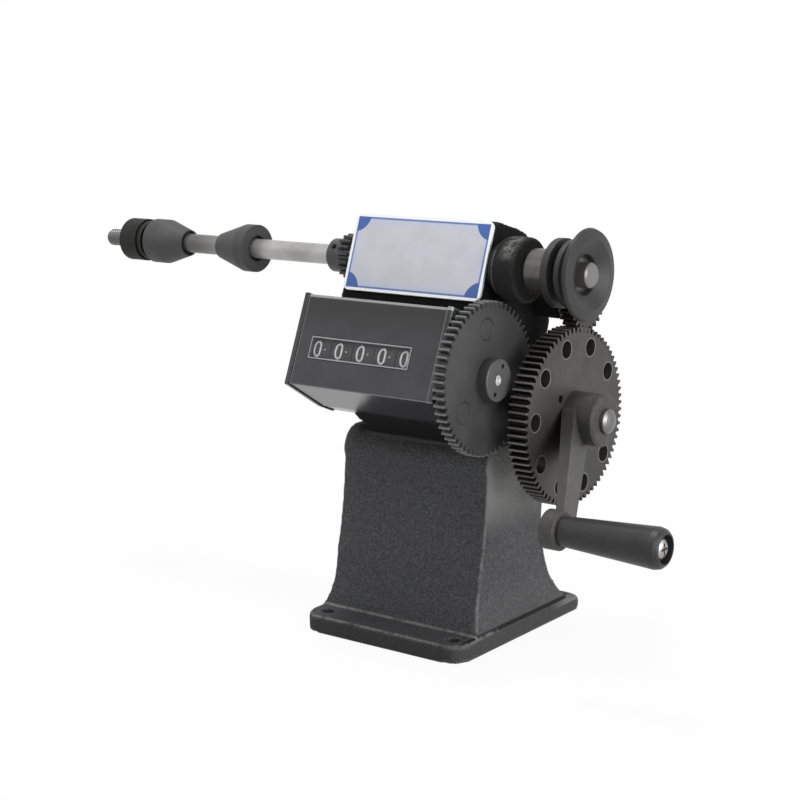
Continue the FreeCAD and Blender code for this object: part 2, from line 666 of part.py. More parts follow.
def slanted_band():
    """The space between the arm's two slanted faces, wide to both sides of it."""
    aim = Vector(0, (GRIP[0] - CRANK[0]) / CRANK_RADIUS, (GRIP[1] - CRANK[1]) / CRANK_RADIUS)
    side = aim.cross(X_AXIS)
    start = Vector(0, CRANK[0], CRANK[1]) - side * 20
    corners = [start + X_AXIS * ARM_ROOT_X[0], start + X_AXIS * ARM_ROOT_X[1],
               start + aim * CRANK_RADIUS + X_AXIS * ARM_TIP_X[1],
               start + aim * CRANK_RADIUS + X_AXIS * ARM_TIP_X[0]]
    return Part.Face(Part.makePolygon(corners + corners[:1])).extrude(side * 40)


def crank_pin():
    """Dowel screw through the crank boss onto the shaft."""
    return radial_pin(CRANK_PIN_X, CRANK, CRANK_PIN_R, CRANK_DIA / 2, 11.0, CRANK_PIN_ANGLE)


def crank_grip():
    """Plastic grip, thin at the arm and thick at its rounded end, counterbored."""
    x0, x1 = GRIP_X
    body = turned([
        (x0, GRIP_SCREW_R + RUN_GAP), (x0, 6.1), (x1 - 3.8, 8.4), (x1 - 1.6, 7.9),
        (x1 - 0.4, 6.9), (x1, 6.2), (x1, 5.8), (x1 - 3.2, 5.8),
        (x1 - 3.2, GRIP_SCREW_R + RUN_GAP)], GRIP)
    return body


def grip_screw():
    """Long shouldered screw that the grip turns on, with a cross recess."""
    x0, x1 = GRIP_BOSS_X[0], GRIP_X[1] - 3.1
    screw = turned([(x0, 0), (x0, GRIP_SCREW_R), (x1, GRIP_SCREW_R), (x1, 3.9),
                    (x1 + 1.7, 3.9), (x1 + 2.5, 2.4), (x1 + 2.5, 0)], GRIP)
    for size in ((5.0, 1.1), (1.1, 5.0)):
        slot = Part.makeBox(3, size[0], size[1],
                            Vector(x1 + 1.0, GRIP[0] - size[0] / 2, GRIP[1] - size[1] / 2))
        screw = screw.cut(slot)
    return screw


# ---- turns counter ----
def case_outline(inset, drop_back=0.0):
    """Closed outline of the counter case, as (y, z), moved in by an inset."""
    return [
        (CASE_FRONT + inset, CASE_LIP + inset * 0.8),
        (CASE_FRONT + inset, CASE_TOP - inset),
        (CASE_BACK - inset - drop_back, CASE_TOP - inset),
        (CASE_BACK - inset - drop_back, CASE_BOTTOM + inset),
        (0.0, CASE_BOTTOM + inset),
    ]


def counter_case():
    """Folded front, top, bottom and back of the counter, open at both ends."""
    x0, x1 = COUNTER_X[0] + CASE_END, COUNTER_X[1] - CASE_END
    shell = slab(case_outline(0.5), x0, x1)
    shell = shell.cut(slab(case_outline(0.5 + CASE_WALL), x0 - 1, x1 + 1))
    opening = Part.makeBox(WINDOW_X[1] - WINDOW_X[0], 6, WINDOW_Z[1] - WINDOW_Z[0],
                           Vector(WINDOW_X[0], CASE_FRONT - 2, WINDOW_Z[0]))
    shell = shell.cut(opening)
    for x, z in MOUNT_SCREWS:
        shell = shell.cut(Part.makeCylinder(MOUNT_SCREW_R, 6, Vector(x, CASE_BACK - 4, z),
                                            Vector(0, 1, 0)))
    return tilted(shell, COUNTER, COUNTER_TILT)


def counter_seat_pad():
    """Half-millimetre gasket between the case and its seat on the casting."""
    x0, x1 = NECK_LEFT + 2.0, COUNTER_X[1] - 6.0
    pad = Part.makeBox(x1 - x0, 0.5, CASE_TOP - CASE_BOTTOM - 4,
                       Vector(x0, CASE_BACK - 0.5, CASE_BOTTOM + 2))
    for x, z in MOUNT_SCREWS:
        pad = pad.cut(Part.makeCylinder(MOUNT_SCREW_R, 4, Vector(x, CASE_BACK - 2, z),
                                        Vector(0, 1, 0)))
    return tilted(pad, COUNTER, COUNTER_TILT)


def counter_end(x0, x1, bores):
    """End cover of the counter, with (y, z, radius) bores."""
    cover = slab(case_outline(0.0), x0, x1)
    outer = [e for e in cover.Edges if abs(e.Vertexes[0].X - e.Vertexes[-1].X) < 0.01
             and abs(e.Vertexes[0].X - (x0 if x0 < 0 else x1)) < 0.01]
    cover = cover.makeChamfer(0.5, outer)
    for y, z, r in bores:
        cover = cover.cut(Part.makeCylinder(r, x1 - x0 + 2, Vector(x0 - 1, y, z), X_AXIS))
    for y, z in END_SCREWS:
        cover = cover.cut(Part.makeCylinder(END_SCREW_R, x1 - x0 + 2, Vector(x0 - 1, y, z),
                                            X_AXIS))
    return tilted(cover, COUNTER, COUNTER_TILT)


def counter_end_left():
    bores = [(-WHEEL_OFFSET, 0, WHEEL_SHAFT_DIA / 2)]
    return counter_end(COUNTER_X[0], COUNTER_X[0] + CASE_END, bores)


def counter_end_right():
    bores = [(-WHEEL_OFFSET, 0, WHEEL_SHAFT_DIA / 2), (0, 0, INPUT_BUSH_R)]
    return counter_end(COUNTER_X[1] - CASE_END, COUNTER_X[1], bores)


def counter_end_screws(x_face, way):
    """Four pan-head screws through an end cover into the case corners."""
    screws = []
    for y, z in END_SCREWS:
        shank = Part.makeCylinder(END_SCREW_R, CASE_END + 0.3, Vector(x_face - way * CASE_END, y, z),
                                  X_AXIS * way)
        head = Part.makeCylinder(2.0, 1.0, Vector(x_face, y, z), X_AXIS * way)
        screws.append(shank.fuse(head))
    return tilted(Part.makeCompound(screws), COUNTER, COUNTER_TILT)


def counter_mount_screws():
    """Four pan-head screws that hold the case to its seat."""
    screws = []
    inside = CASE_BACK - 0.5 - CASE_WALL
    for x, z in MOUNT_SCREWS:
        shank = Part.makeCylinder(MOUNT_SCREW_R, 9.0, Vector(x, inside, z), Vector(0, 1, 0))
        head = Part.makeCylinder(2.6, 1.6, Vector(x, inside - 1.6, z), Vector(0, 1, 0))
        screws.append(shank.fuse(head))
    return tilted(Part.makeCompound(screws), COUNTER, COUNTER_TILT)


def counter_window():
    """Clear pane set flush in the case, with a thin raised frame."""
    x0, x1 = WINDOW_X
    z0, z1 = WINDOW_Z
    front = CASE_FRONT + 0.5
    pane = Part.makeBox(x1 - x0, 0.9, z1 - z0, Vector(x0, front, z0))
    bead = Part.makeBox(x1 - x0, 1.1, z1 - z0, Vector(x0, front - 0.2, z0))
    bead = bead.cut(Part.makeBox(x1 - x0 - 1.2, 3, z1 - z0 - 1.2,
                                 Vector(x0 + 0.6, front - 1, z0 + 0.6)))
    return tilted(pane.fuse(bead).removeSplitter(), COUNTER, COUNTER_TILT)


def counter_input_bush():
    x0, x1 = DIGIT_GEAR_X[1] + 0.3, COUNTER_X[1] + 1.6
    body = bar(x0, x1, INPUT_BUSH_R, COUNTER)
    body = body.fuse(bar(x0 + 1, COUNTER_X[1] - CASE_END, INPUT_BUSH_R + 1.5, COUNTER))
    return body.cut(bar(x0 - 1, x1 + 1, INPUT_DIA / 2 + RUN_GAP, COUNTER))


def counter_input_shaft():
    left, right = DIGIT_GEAR_X[0] - 0.2, COUNTER_GEAR_X[1] + 5.0
    r = INPUT_DIA / 2
    shaft = turned([(left, 0), (left, r), (right - 0.4, r), (right, r - 0.4), (right, 0)], COUNTER)
    return shaft.cut(bar(right - 1.5, right + 1, 1.0, COUNTER))


def counter_gear():
    """Thin moulded gear with a long hub, two pin holes and a recessed web."""
    x0, x1 = COUNTER_GEAR_X
    hub_end = x1 + 5.3
    body = gear_blank(COUNTER_GEAR_TEETH, COUNTER_MODULE, x0, x1, COUNTER, COUNTER_GEAR_PHASE)
    hub = turned([(x0, 0), (x0, 9.0), (hub_end - 0.5, 8.95), (hub_end, 8.45), (hub_end, 0)],
                 COUNTER)
    body = body.fuse(hub)
    body = body.cut(tube(x0 - 1, x0 + 1.6, 28.5, 10.5, COUNTER))
    for angle in (math.radians(62), math.radians(242)):
        at = on_circle(COUNTER, 6.2, angle)
        body = body.cut(bar(hub_end - 4, hub_end + 1, 1.0, at))
    return body.cut(bar(x0 - 1, hub_end + 1, INPUT_DIA / 2, COUNTER))


def counter_input_pinion():
    x0, x1 = DIGIT_GEAR_X
    body = gear_blank(INPUT_PINION_TEETH, DIGIT_MODULE, x0, x1, COUNTER, 0, DIGIT_ADDENDUM)
    return body.cut(bar(x0 - 1, x1 + 1, INPUT_DIA / 2, COUNTER))


def counter_wheel_shaft():
    return bar(COUNTER_X[0], COUNTER_X[1], WHEEL_SHAFT_DIA / 2, WHEELS)


def digit_wheel(index):
    """Number drum with a hub that spaces it from the next one."""
    middle = DIGIT_FIRST_X + index * DIGIT_PITCH
    x0, x1 = middle - DIGIT_WIDTH / 2, middle + DIGIT_WIDTH / 2
    bore = WHEEL_SHAFT_DIA / 2 + RUN_GAP
    hub_end = x0 + DIGIT_PITCH - 0.15
    return turned([(x0, bore), (x0, DIGIT_RADIUS), (x1, DIGIT_RADIUS), (x1, 3.6),
                   (hub_end, 3.6), (hub_end, bore)], WHEELS)


def units_pinion():
    """Ten-tooth pinion on the side of the units wheel."""
    x0 = DIGIT_FIRST_X + (DIGITS - 1) * DIGIT_PITCH - DIGIT_WIDTH / 2 + DIGIT_PITCH - 0.15
    x1 = DIGIT_GEAR_X[1] + 0.2
    root = (UNITS_PINION_TEETH / 2 - 1.25) * DIGIT_MODULE
    body = gear_blank(UNITS_PINION_TEETH, DIGIT_MODULE, DIGIT_GEAR_X[0] - 0.2, x1, WHEELS,
                      UNITS_PINION_PHASE, DIGIT_ADDENDUM)
    body = body.fuse(bar(x0, x1, root, WHEELS))
    return body.cut(bar(x0 - 1, x1 + 1, WHEEL_SHAFT_DIA / 2 + RUN_GAP, WHEELS))


def counter_shaft_spacers():
    """Loose sleeves that keep the drums from drifting along their shaft."""
    left_end = DIGIT_FIRST_X - DIGIT_WIDTH / 2
    right_start = DIGIT_GEAR_X[1] + 0.2
    spans = [(COUNTER_X[0] + CASE_END, left_end - 0.15),
             (right_start + 0.15, COUNTER_X[1] - CASE_END)]
    return Part.makeCompound([tube(a, b, 2.2, WHEEL_SHAFT_DIA / 2, WHEELS) for a, b in spans])


def name_plate():
    """Blank metal plate with rounded corners."""
    x0, x1 = PLATE_X
    plate = Part.makeBox(x1 - x0, PLATE_THICK, PLATE_HEIGHT,
                         Vector(x0, -PLATE_THICK / 2, -PLATE_HEIGHT / 2))
    corners = [e for e in plate.Edges if abs(e.Vertexes[0].Y - e.Vertexes[1].Y) > 0.1]
    return tilted(plate.makeFillet(3.0, corners), PLATE_MID, PLATE_TILT)


# ---- all sub-parts ----
def build_all():
    parts = {
        "frame_casting": frame_casting(),
        "name_plate": name_plate(),
        "spindle_bush_left": bush(SPINDLE_BUSH_LEFT, SPINDLE_BUSH_R, SPINDLE_DIA, SPINDLE),
        "spindle_bush_right": bush(SPINDLE_BUSH_RIGHT, SPINDLE_BUSH_R, SPINDLE_DIA, SPINDLE),
        "lay_bush_left": bush(LAY_BUSH_LEFT, LAY_BUSH_R, LAY_DIA, LAY),
        "lay_bush_right": bush(LAY_BUSH_RIGHT, LAY_BUSH_R, LAY_DIA, LAY),
        "crank_bush_left": bush(CRANK_BUSH_LEFT, CRANK_BUSH_R, CRANK_DIA, CRANK),
        "crank_bush_right": bush(CRANK_BUSH_RIGHT, CRANK_BUSH_R, CRANK_DIA, CRANK),
        "spindle_shaft": spindle_shaft(),
        "spindle_pinion": spindle_pinion(),
        "spindle_pinion_screw": set_screw(PINION_SCREW_X, SPINDLE, WINDING_DIA, PINION_HUB_R,
                                          PINION_SCREW_ANGLE),
        "spindle_thrust_washer": spindle_thrust_washer(),
        "spindle_collar": spindle_collar(),
        "spindle_collar_screw": radial_pin(sum(COLLAR_X) / 2, SPINDLE, 2.0, SPINDLE_DIA / 2,
                                           9.2, COLLAR_SCREW_ANGLE),
        "pulley": pulley(),
        "cone_left": cone_left(),
        "cone_right": cone_right(),
        "clamp_washer": clamp_washer(),
        "clamp_nut": clamp_nut(),
        "lay_shaft": lay_shaft(),
        "lay_pinion": lay_pinion(),
        "lay_pinion_screw": set_screw(LAY_PINION_SCREW_X, LAY, LAY_DIA, 8.0, 0.9),
        "lay_gear": lay_gear(),
        "lay_gear_screw": set_screw(LAY_GEAR_SCREW_X, LAY, LAY_DIA, 8.0, 0.9),
        "lay_thrust_washer": lay_thrust_washer(),
        "crank_shaft": crank_shaft(),
        "drive_gear": drive_gear(),
        "counter_drive_pinion": counter_drive_pinion(),
        "counter_drive_screw": set_screw(DRIVE_PINION_SCREW_X, CRANK, CRANK_DIA, 9.0, 1.2),
        "crank_thrust_washer": crank_thrust_washer(),
        "crank_shaft_collar": crank_shaft_collar(),
        "crank_collar_screw": set_screw(sum(CRANK_COLLAR_X) / 2, CRANK, CRANK_DIA, 9.0, 1.2),
        "crank_arm": crank_arm(),
        "crank_pin": crank_pin(),
        "grip_screw": grip_screw(),
        "crank_grip": crank_grip(),
        "counter_case": counter_case(),
        "counter_seat_pad": counter_seat_pad(),
        "counter_end_left": counter_end_left(),
        "counter_end_right": counter_end_right(),
        "counter_left_screws": counter_end_screws(COUNTER_X[0], -1),
        "counter_right_screws": counter_end_screws(COUNTER_X[1], 1),
        "counter_mount_screws": counter_mount_screws(),
        "counter_window": counter_window(),
        "counter_input_bush": counter_input_bush(),
        "counter_input_shaft": counter_input_shaft(),
        "counter_input_pinion": counter_input_pinion(),
        "counter_gear": counter_gear(),
        "counter_wheel_shaft": counter_wheel_shaft(),
        "counter_shaft_spacers": counter_shaft_spacers(),
        "units_pinion": units_pinion(),
    }
    for index in range(DIGITS):
        parts["digit_wheel_%d" % (index + 1)] = digit_wheel(index)
    return parts


for name, shape in build_all().items():
    shape.exportStep("parts/%s.step" % name)
    print("%-24s solids %d  volume %9.1f  valid %s"
          % (name, len(shape.Solids), shape.Volume, shape.isValid()))
print("layshaft axis (y, z):", [round(v, 3) for v in LAY])
print("counter axis (y, z):", [round(v, 3) for v in COUNTER])
print("digit wheel axis (y, z):", [round(v, 3) for v in WHEELS])
print("grip axis (y, z):", [round(v, 3) for v in GRIP])
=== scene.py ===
import json
import math

import bmesh
import bpy
from bpy.props import FloatProperty, FloatVectorProperty, IntProperty, PointerProperty
from bpy.types import Operator, Panel, PropertyGroup
from mathutils import Matrix, Vector, noise


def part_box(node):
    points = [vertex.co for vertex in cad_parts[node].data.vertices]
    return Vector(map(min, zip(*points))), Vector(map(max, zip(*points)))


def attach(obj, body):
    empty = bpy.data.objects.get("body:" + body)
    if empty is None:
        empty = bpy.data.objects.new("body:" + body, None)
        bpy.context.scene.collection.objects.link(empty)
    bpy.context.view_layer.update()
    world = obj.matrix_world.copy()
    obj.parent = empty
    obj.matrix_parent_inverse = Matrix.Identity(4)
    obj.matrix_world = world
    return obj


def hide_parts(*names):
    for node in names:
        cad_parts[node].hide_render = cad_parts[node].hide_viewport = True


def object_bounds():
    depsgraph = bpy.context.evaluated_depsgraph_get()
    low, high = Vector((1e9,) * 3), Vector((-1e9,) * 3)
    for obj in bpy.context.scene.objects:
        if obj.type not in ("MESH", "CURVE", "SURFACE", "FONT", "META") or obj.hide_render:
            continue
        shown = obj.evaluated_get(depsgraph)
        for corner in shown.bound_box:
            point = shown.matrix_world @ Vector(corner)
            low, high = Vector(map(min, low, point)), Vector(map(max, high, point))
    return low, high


bl_info = {
    "name": "Coil Winder Dressing",
    "version": (1, 0, 0),
    "blender": (4, 5, 0),
    "location": "View3D > Sidebar > Winder",
    "description": "Finishes, cast skin, numerals and studio for a hand coil winder",
    "category": "Object",
}

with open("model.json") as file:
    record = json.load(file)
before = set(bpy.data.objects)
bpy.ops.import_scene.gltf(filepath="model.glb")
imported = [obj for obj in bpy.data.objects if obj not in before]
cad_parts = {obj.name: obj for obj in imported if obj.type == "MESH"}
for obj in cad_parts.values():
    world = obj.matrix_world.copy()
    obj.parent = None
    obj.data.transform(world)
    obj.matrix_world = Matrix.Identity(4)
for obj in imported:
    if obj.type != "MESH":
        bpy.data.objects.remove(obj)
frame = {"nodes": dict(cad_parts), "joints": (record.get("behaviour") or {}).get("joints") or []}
CAD_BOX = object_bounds()
NODES = frame["nodes"]
JOINTS = {joint["name"]: joint for joint in frame["joints"]}
MM = 0.001
WHITE = (1.0, 1.0, 1.0, 1.0)
# black of painted shadow, in creases and round the counter's window
SHADOW_BLACK = (0.004, 0.004, 0.004)


def axis_of(joint):
    """The (y, z) of a joint's axis along X."""
    return tuple(JOINTS[joint]["pos_m"][1:3])


SPINDLE = axis_of("spindle_turn")
LAYSHAFT = axis_of("layshaft_turn")
CRANK = axis_of("crank_turn")
GRIP = axis_of("grip_turn")
COUNTER = axis_of("counter_input_turn")
DRUMS = axis_of("units_turn")
WINDOW = (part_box("counter_window")[0].x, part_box("counter_window")[1].x)
DRUM_WHEELS = tuple("digit_wheel_%d" % number for number in range(1, 6))
DRUM_BODIES = ("drum_ten_thousands", "drum_thousands", "drum_hundreds", "drum_tens", "drum_units")

# ---- places on the casting; a pair says where a change starts and ends ----
UNDERSIDE = 0.6 * MM                            # nothing below this is made uneven
BASE_FRONT, BASE_RIGHT = -49.3 * MM, 43.0 * MM  # rims of the base, rubbed pale, with a painted highlight
BASE_RIM_Z, RIGHT_RIM_END = (6.9 * MM, 7.4 * MM), -20.0 * MM
BASE_SHADE_Z = (6.2 * MM, 8.6 * MM)             # the base's upright sides are darker
FOOT_Y, FOOT_Z = -35.6 * MM, 8.4 * MM           # front line where the column meets the base
CREASE_SHADOW_X, CREASE_SHADOW_Z = 40.5 * MM, 8.3 * MM        # painted shadow in the crease at the column's right foot
COLUMN_RIGHT = (38.4 * MM, 39.4 * MM)           # painted light on the column's right side
SIDE_LIGHT_HIGH_Z, SIDE_LIGHT_LOW_Z = (46.0 * MM, 72.0 * MM), (14.0 * MM, 32.0 * MM)
CORNER_X, CORNER_Y = (30.0 * MM, 41.0 * MM), (20.0 * MM, 36.0 * MM)     # dust on a corner of the base
CORNER_LOW_Z, CORNER_HIGH_Z = (4.9 * MM, 5.5 * MM), (7.4 * MM, 8.0 * MM)
NECK_Z = (85.5 * MM, 88.0 * MM)                 # painted shade makes the neck and head near black
SHADE_Y, SHADE_Z = (18.0 * MM, 21.0 * MM), (20.0 * MM, 95.0 * MM)       # painted shade on the column's rear too
AWAY_Y, AWAY_X = (6.0 * MM, 24.0 * MM), (-35.8 * MM, -34.8 * MM)        # less painted shade at the back and left
HEAD_RIGHT = 37.5 * MM                          # but not on the right side
BOSS_RADIUS, BOSS_X = (12.0 * MM, 13.0 * MM), 49.5 * MM                 # rubbed patch, boss
BOSS_TOP_Z = (SPINDLE[1] + 4.0 * MM, SPINDLE[1] + 9.0 * MM)
BOSS_FRONT_Y = (-12.0 * MM, -5.0 * MM)

# ---- places on the spindle and the gears ----
THREAD_END, CONE_SHADE_X = -166.0 * MM, (-136.0 * MM, -100.0 * MM)    # threaded left of the first; painted shade, as cast by the cones, left of the second
NUT_RIM, NUT_RIDGES = (9.5 * MM, 9.9 * MM), 64
HOLES, HOLE_CIRCLE, HOLE_START = 10, 30.8 * MM, math.radians(30.5)
HOLE_BORE, HOLE_BEVEL = (3.7 * MM, 3.8 * MM), (3.95 * MM, 4.35 * MM)    # radii in a hole
GEAR_ROOT, GEAR_TIP = (35.9 * MM, 36.1 * MM), (37.9 * MM, 38.4 * MM)    # radii of the teeth
GEAR_FACE = 63.8 * MM                           # just behind the crank gear's front face; painted shade between teeth lies only behind it
COUNTER_GEAR_TIP = (31.9 * MM, 32.4 * MM)
EJECTOR_CIRCLE, EJECTOR_RADIUS, EJECTOR_TURNS = 21.0 * MM, 4.6 * MM, (92, 212, 332)

# ---- places on the counter and the plate ----
COUNTER_TILT = math.radians(23.0)               # how far the counter leans back
CASE_LEFT, CASE_RIGHT, CASE_FACE = -37.5 * MM, 36.5 * MM, -24.6 * MM
CASE_TOP, CASE_LOW, CASE_SHADE_UP = 22.8 * MM, -16.8 * MM, (4.0 * MM, 20.0 * MM)
WINDOW_UP, WINDOW_HALF = 0.15 * MM, 4.85 * MM   # middle and half height, up the case
PANE_HALF = 26.7 * MM                           # half width of the pane
DRUM_RADIUS, NUMERAL_X = 14.66 * MM, 4.0 * MM   # numerals lie just clear of the drum
DASH = (3.6 * MM, 4.4 * MM, 0.2 * MM)           # start, end and half width
PLATE_TILT, PLATE_HALF = math.radians(20.4), (36.5 * MM, 17.2 * MM)

# ---- camera and floor ----
CAMERA_SPOT, SENSOR_WIDTH = (0.46696, -0.63524, 0.26540), 36.0
CAMERA_TURN, CAMERA_DROP, CAMERA_ROLL = (math.radians(angle) for angle in (37.7, 11.77, -1.05))
FLOOR_SIZE, FLOOR_DROP, FLOOR_FADE = 6.0, 0.2 * MM, (0.1, 0.45)


# ---- sizes and colours a user may change ----
def colour(name, description, default):
    """A colour setting."""
    return FloatVectorProperty(name=name, description=description, default=default,
                               subtype="COLOR", size=3, min=0.0, max=1.0)


def length(name, description, default):
    """A setting in metres."""
    return FloatProperty(name=name, description=description, default=default,
                         unit="LENGTH", subtype="DISTANCE", min=0.0)


def power(name, description, default):
    """A lamp's setting in watts."""
    return FloatProperty(name=name, description=description, default=default, min=0.0,
                         unit="POWER")


class WinderColours(PropertyGroup):
    """Base colours of the machine's finishes."""
    iron: colour("Iron paint", "Black paint in the casting's pits", (0.052, 0.052, 0.055))
    iron_dust: colour("Iron grain", "Tops of the rough paint", (0.106, 0.106, 0.11))
    # pale of wear, and also of painted highlights on edges and painted light on the column's side
    iron_wear_and_highlight: colour("Iron wear", "Paint rubbed pale at edges", (0.22, 0.22, 0.215))
    steel: colour("Bright steel", "Ground shafts and screws", (0.27, 0.262, 0.252))
    gear_steel: colour("Gear steel", "Oil-blackened crank gear", (0.085, 0.078, 0.072))
    collar_steel: colour("Collar steel", "Blackened collars", (0.11, 0.1, 0.095))
    plastic: colour("Black plastic", "Counter gear, pulley and grip", (0.022, 0.022, 0.023))
    cone: colour("Cone plastic", "Matt plastic of the cones", (0.044, 0.044, 0.045))
    case: colour("Counter case", "Glossy charcoal case", (0.03, 0.03, 0.033))
    # pale of the painted highlights along the case's edges
    case_highlight: colour("Case edges", "Pale moulded edges of the case", (0.31, 0.31, 0.31))
    enamel: colour("Crank enamel", "Satin enamel of the crank arm", (0.036, 0.035, 0.034))
    bronze: colour("Bronze", "Sintered bearing bushes", (0.42, 0.27, 0.12))
    plate: colour("Plate face", "Pale face of the plate", (0.5, 0.51, 0.55))
    plate_rim: colour("Plate rim", "Bare metal round the face", (0.8, 0.81, 0.83))
    plate_line: colour("Plate ink", "Printed border and corners", (0.045, 0.11, 0.36))
    numeral: colour("Numerals", "White of the drum numerals", (0.96, 0.96, 0.95))
    pane: colour("Window frame", "Pale frame of the clear pane", (0.34, 0.34, 0.36))
    floor: colour("Floor", "Pale studio floor", (0.86, 0.86, 0.86))


class WinderSizes(PropertyGroup):
    """Sizes of the details added to the solids."""
    skin_voxel: length("Skin voxel", "Grid of the rounded cast skin", 1.0 * MM)
    skin_lump: length("Skin lump", "Height of the casting's waviness", 0.09 * MM)
    numeral_height: length("Numeral height", "Height of a drum numeral", 7.3 * MM)
    numeral_width: length("Numeral width", "Width of a drum numeral", 4.1 * MM)
    stroke: length("Numeral stroke", "Width of a numeral's stroke", 0.95 * MM)
    thread_pitch: length("Thread pitch", "Pitch of the spindle's thread", 1.25 * MM)
    edge_round: length("Edge round", "Small rounding seen along sharp edges", 0.35 * MM)
    rim_width: length("Plate rim", "Bare rim outside the printed line", 1.3 * MM)
    plate_corner: length("Plate corner", "Radius of the printed corner discs", 7.0 * MM)
    case_round: length("Case edges", "Rounding seen along the counter case", 0.9 * MM)
    cone_round: length("Cone edges", "Soft shoulders of the cones", 0.8 * MM)
    skin_smoothing: IntProperty(name="Skin smoothing", default=1, min=0, max=20,
                                description="Rounds of smoothing on the cast skin")


class WinderStage(PropertyGroup):
    """Camera, lamps and floor."""
    lens: FloatProperty(name="Lens", description="Focal length", default=81.6, min=20.0,
                        unit="CAMERA")
    key: power("Key lamp", "Power of the key lamp", 2.6)
    fill: power("Fill lamp", "Power of the fill lamp", 1.0)
    top: power("Top lamp", "Power of the overhead lamp", 6.0)
    side: power("Side lamp", "Power of the lamp on the crank side", 13.0)
    ambient: FloatProperty(name="Ambient", description="Even light from all round",
                           default=0.22, min=0.0, max=2.0)
    floor_glow: FloatProperty(name="Floor glow", description="Share of plain white in the floor",
                              default=0.94, min=0.0, max=1.0, subtype="FACTOR")


# ---- shader maths ----
class Signal:
    """An output socket that takes part in sums."""

    def __init__(self, finish, socket):
        self.finish = finish
        self.socket = socket

    def maths(self, operation, *values):
        """A Math node with this signal first."""
        return self.finish.node("ShaderNodeMath", {"operation": operation},
                                dict(enumerate((self,) + values)))

    def __add__(self, other):
        return self.maths("ADD", other)

    __radd__ = __add__

    def __sub__(self, other):
        return self.maths("SUBTRACT", other)

    def __rsub__(self, other):
        return self.maths("MULTIPLY", -1.0).maths("ADD", other)

    def __mul__(self, other):
        return self.maths("MULTIPLY", other)

    def __truediv__(self, other):
        return self.maths("DIVIDE", other)

    def __gt__(self, other):
        return self.maths("GREATER_THAN", other)

    def __lt__(self, other):
        return self.maths("LESS_THAN", other)

    def __abs__(self):
        return self.maths("ABSOLUTE")

    def root(self):
        """Square root."""
        return self.maths("SQRT")

    def lower(self, other):
        """The lesser of two."""
        return self.maths("MINIMUM", other)

    def higher(self, other):
        """The greater of two."""
        return self.maths("MAXIMUM", other)

    def rise(self, low, high):
        """0 below low, 1 above high, smooth between."""
        return self.finish.node("ShaderNodeMapRange", {"interpolation_type": "SMOOTHSTEP"},
                                {"Value": self, "From Min": low, "From Max": high})

    def near(self, place, outer, inner=None):
        """1 within inner of a place, 0 beyond outer; inner is half of outer if not given."""
        return 1.0 - abs(self - place).rise(outer * 0.5 if inner is None else inner, outer)


class Wiring:
    """A node tree, cleared and then filled through node()."""

    def __init__(self, tree):
        self.tree = tree
        tree.nodes.clear()

    def node(self, kind, settings, sockets, output=0):
        """Add a node; its settings come first, then the values or links of its sockets."""
        node = self.tree.nodes.new(kind)
        for key, value in settings.items():
            setattr(node, key, value)
        for key, value in sockets.items():
            if isinstance(value, Signal):
                self.tree.links.new(value.socket, node.inputs[key])
            else:
                node.inputs[key].default_value = value
        return Signal(self, node.outputs[output])

    def seen(self):
        """1 for rays from the camera, a gloss or a clear pane, so that all meet the same white."""
        rays = [self.node("ShaderNodeLightPath", {}, {}, "Is %s Ray" % kind)
                for kind in ("Camera", "Glossy", "Transmission")]
        return (rays[0] + rays[1] + rays[2]).lower(1.0)

    def put_out(self, kind, shader):
        """Link a shader to an output node."""
        out = self.tree.nodes.new(kind)
        self.tree.links.new(shader.socket, out.inputs["Surface"])


class Finish(Wiring):
    """One procedural material."""

    def __init__(self, name):
        self.material = bpy.data.materials.new(name)
        self.material.use_nodes = True
        super().__init__(self.material.node_tree)
        self.place = self.node("ShaderNodeTexCoord", {}, {}, "Object")

    def split(self):
        """The x, y and z of a point on the object."""
        return [self.node("ShaderNodeSeparateXYZ", {}, {0: self.place}, side)
                for side in ("X", "Y", "Z")]

    def about(self, axis):
        """The x of a point, and its y and z from an axis along X."""
        x, y, z = self.split()
        return x, y - axis[0], z - axis[1]

    def radius(self, axis):
        """Distance from an axis along X."""
        _, y, z = self.about(axis)
        return (y * y + z * z).root()

    def cloud(self, scale, detail=3.0, rough=0.55):
        """Noise through the whole piece."""
        return self.node("ShaderNodeTexNoise", {},
                         {"Vector": self.place, "Scale": scale, "Detail": detail,
                          "Roughness": rough})

    def streaks(self, along, scale):
        """Noise that changes along one number only, such as turning marks."""
        return self.node("ShaderNodeTexNoise", {"noise_dimensions": "1D"},
                         {"W": along, "Scale": scale, "Detail": 2.0})

    def blend(self, factor, first, second):
        """A colour between two."""
        def shade(value):
            return value if isinstance(value, Signal) else (*value, 1.0)
        return self.node("ShaderNodeMix", {"data_type": "RGBA"},
                         {"Factor": factor, 6: shade(first), 7: shade(second)}, 2)

    def bump(self, height, distance, strength=1.0, edge=None):
        """Surface relief, over edges that look rounded where edge is given."""
        sockets = {"Height": height, "Distance": distance, "Strength": strength}
        if edge:
            sockets["Normal"] = self.node("ShaderNodeBevel", {"samples": 4}, {"Radius": edge})
        return self.node("ShaderNodeBump", {}, sockets)

    def close(self, **sockets):
        """Finish with a Principled shader; underscores in names stand for spaces."""
        named = {}
        for key, value in sockets.items():
            title = " ".join(word.capitalize() for word in key.split("_")).replace("Ior", "IOR")
            if title == "Base Color" and not isinstance(value, Signal):
                value = (*value, 1.0)
            named[title] = value
        self.put_out("ShaderNodeOutputMaterial",
                     self.node("ShaderNodeBsdfPrincipled", {}, named))
        return self.material


def wear(material, *names):
    """Put a material on CAD nodes."""
    for name in names:
        materials = NODES[name].data.materials
        materials.clear()
        materials.append(material)


def scaled(tone, factor):
    """A colour, darker or brighter by a factor."""
    return [factor * value for value in tone]


def up_a_face(y, z, tilt):
    """How far up a face that leans back by tilt a point lies."""
    return z * math.cos(tilt) + y * math.sin(tilt)


def settings():
    """The user's colours, sizes and stage."""
    scene = bpy.context.scene
    return scene.winder_colours, scene.winder_sizes, scene.winder_stage


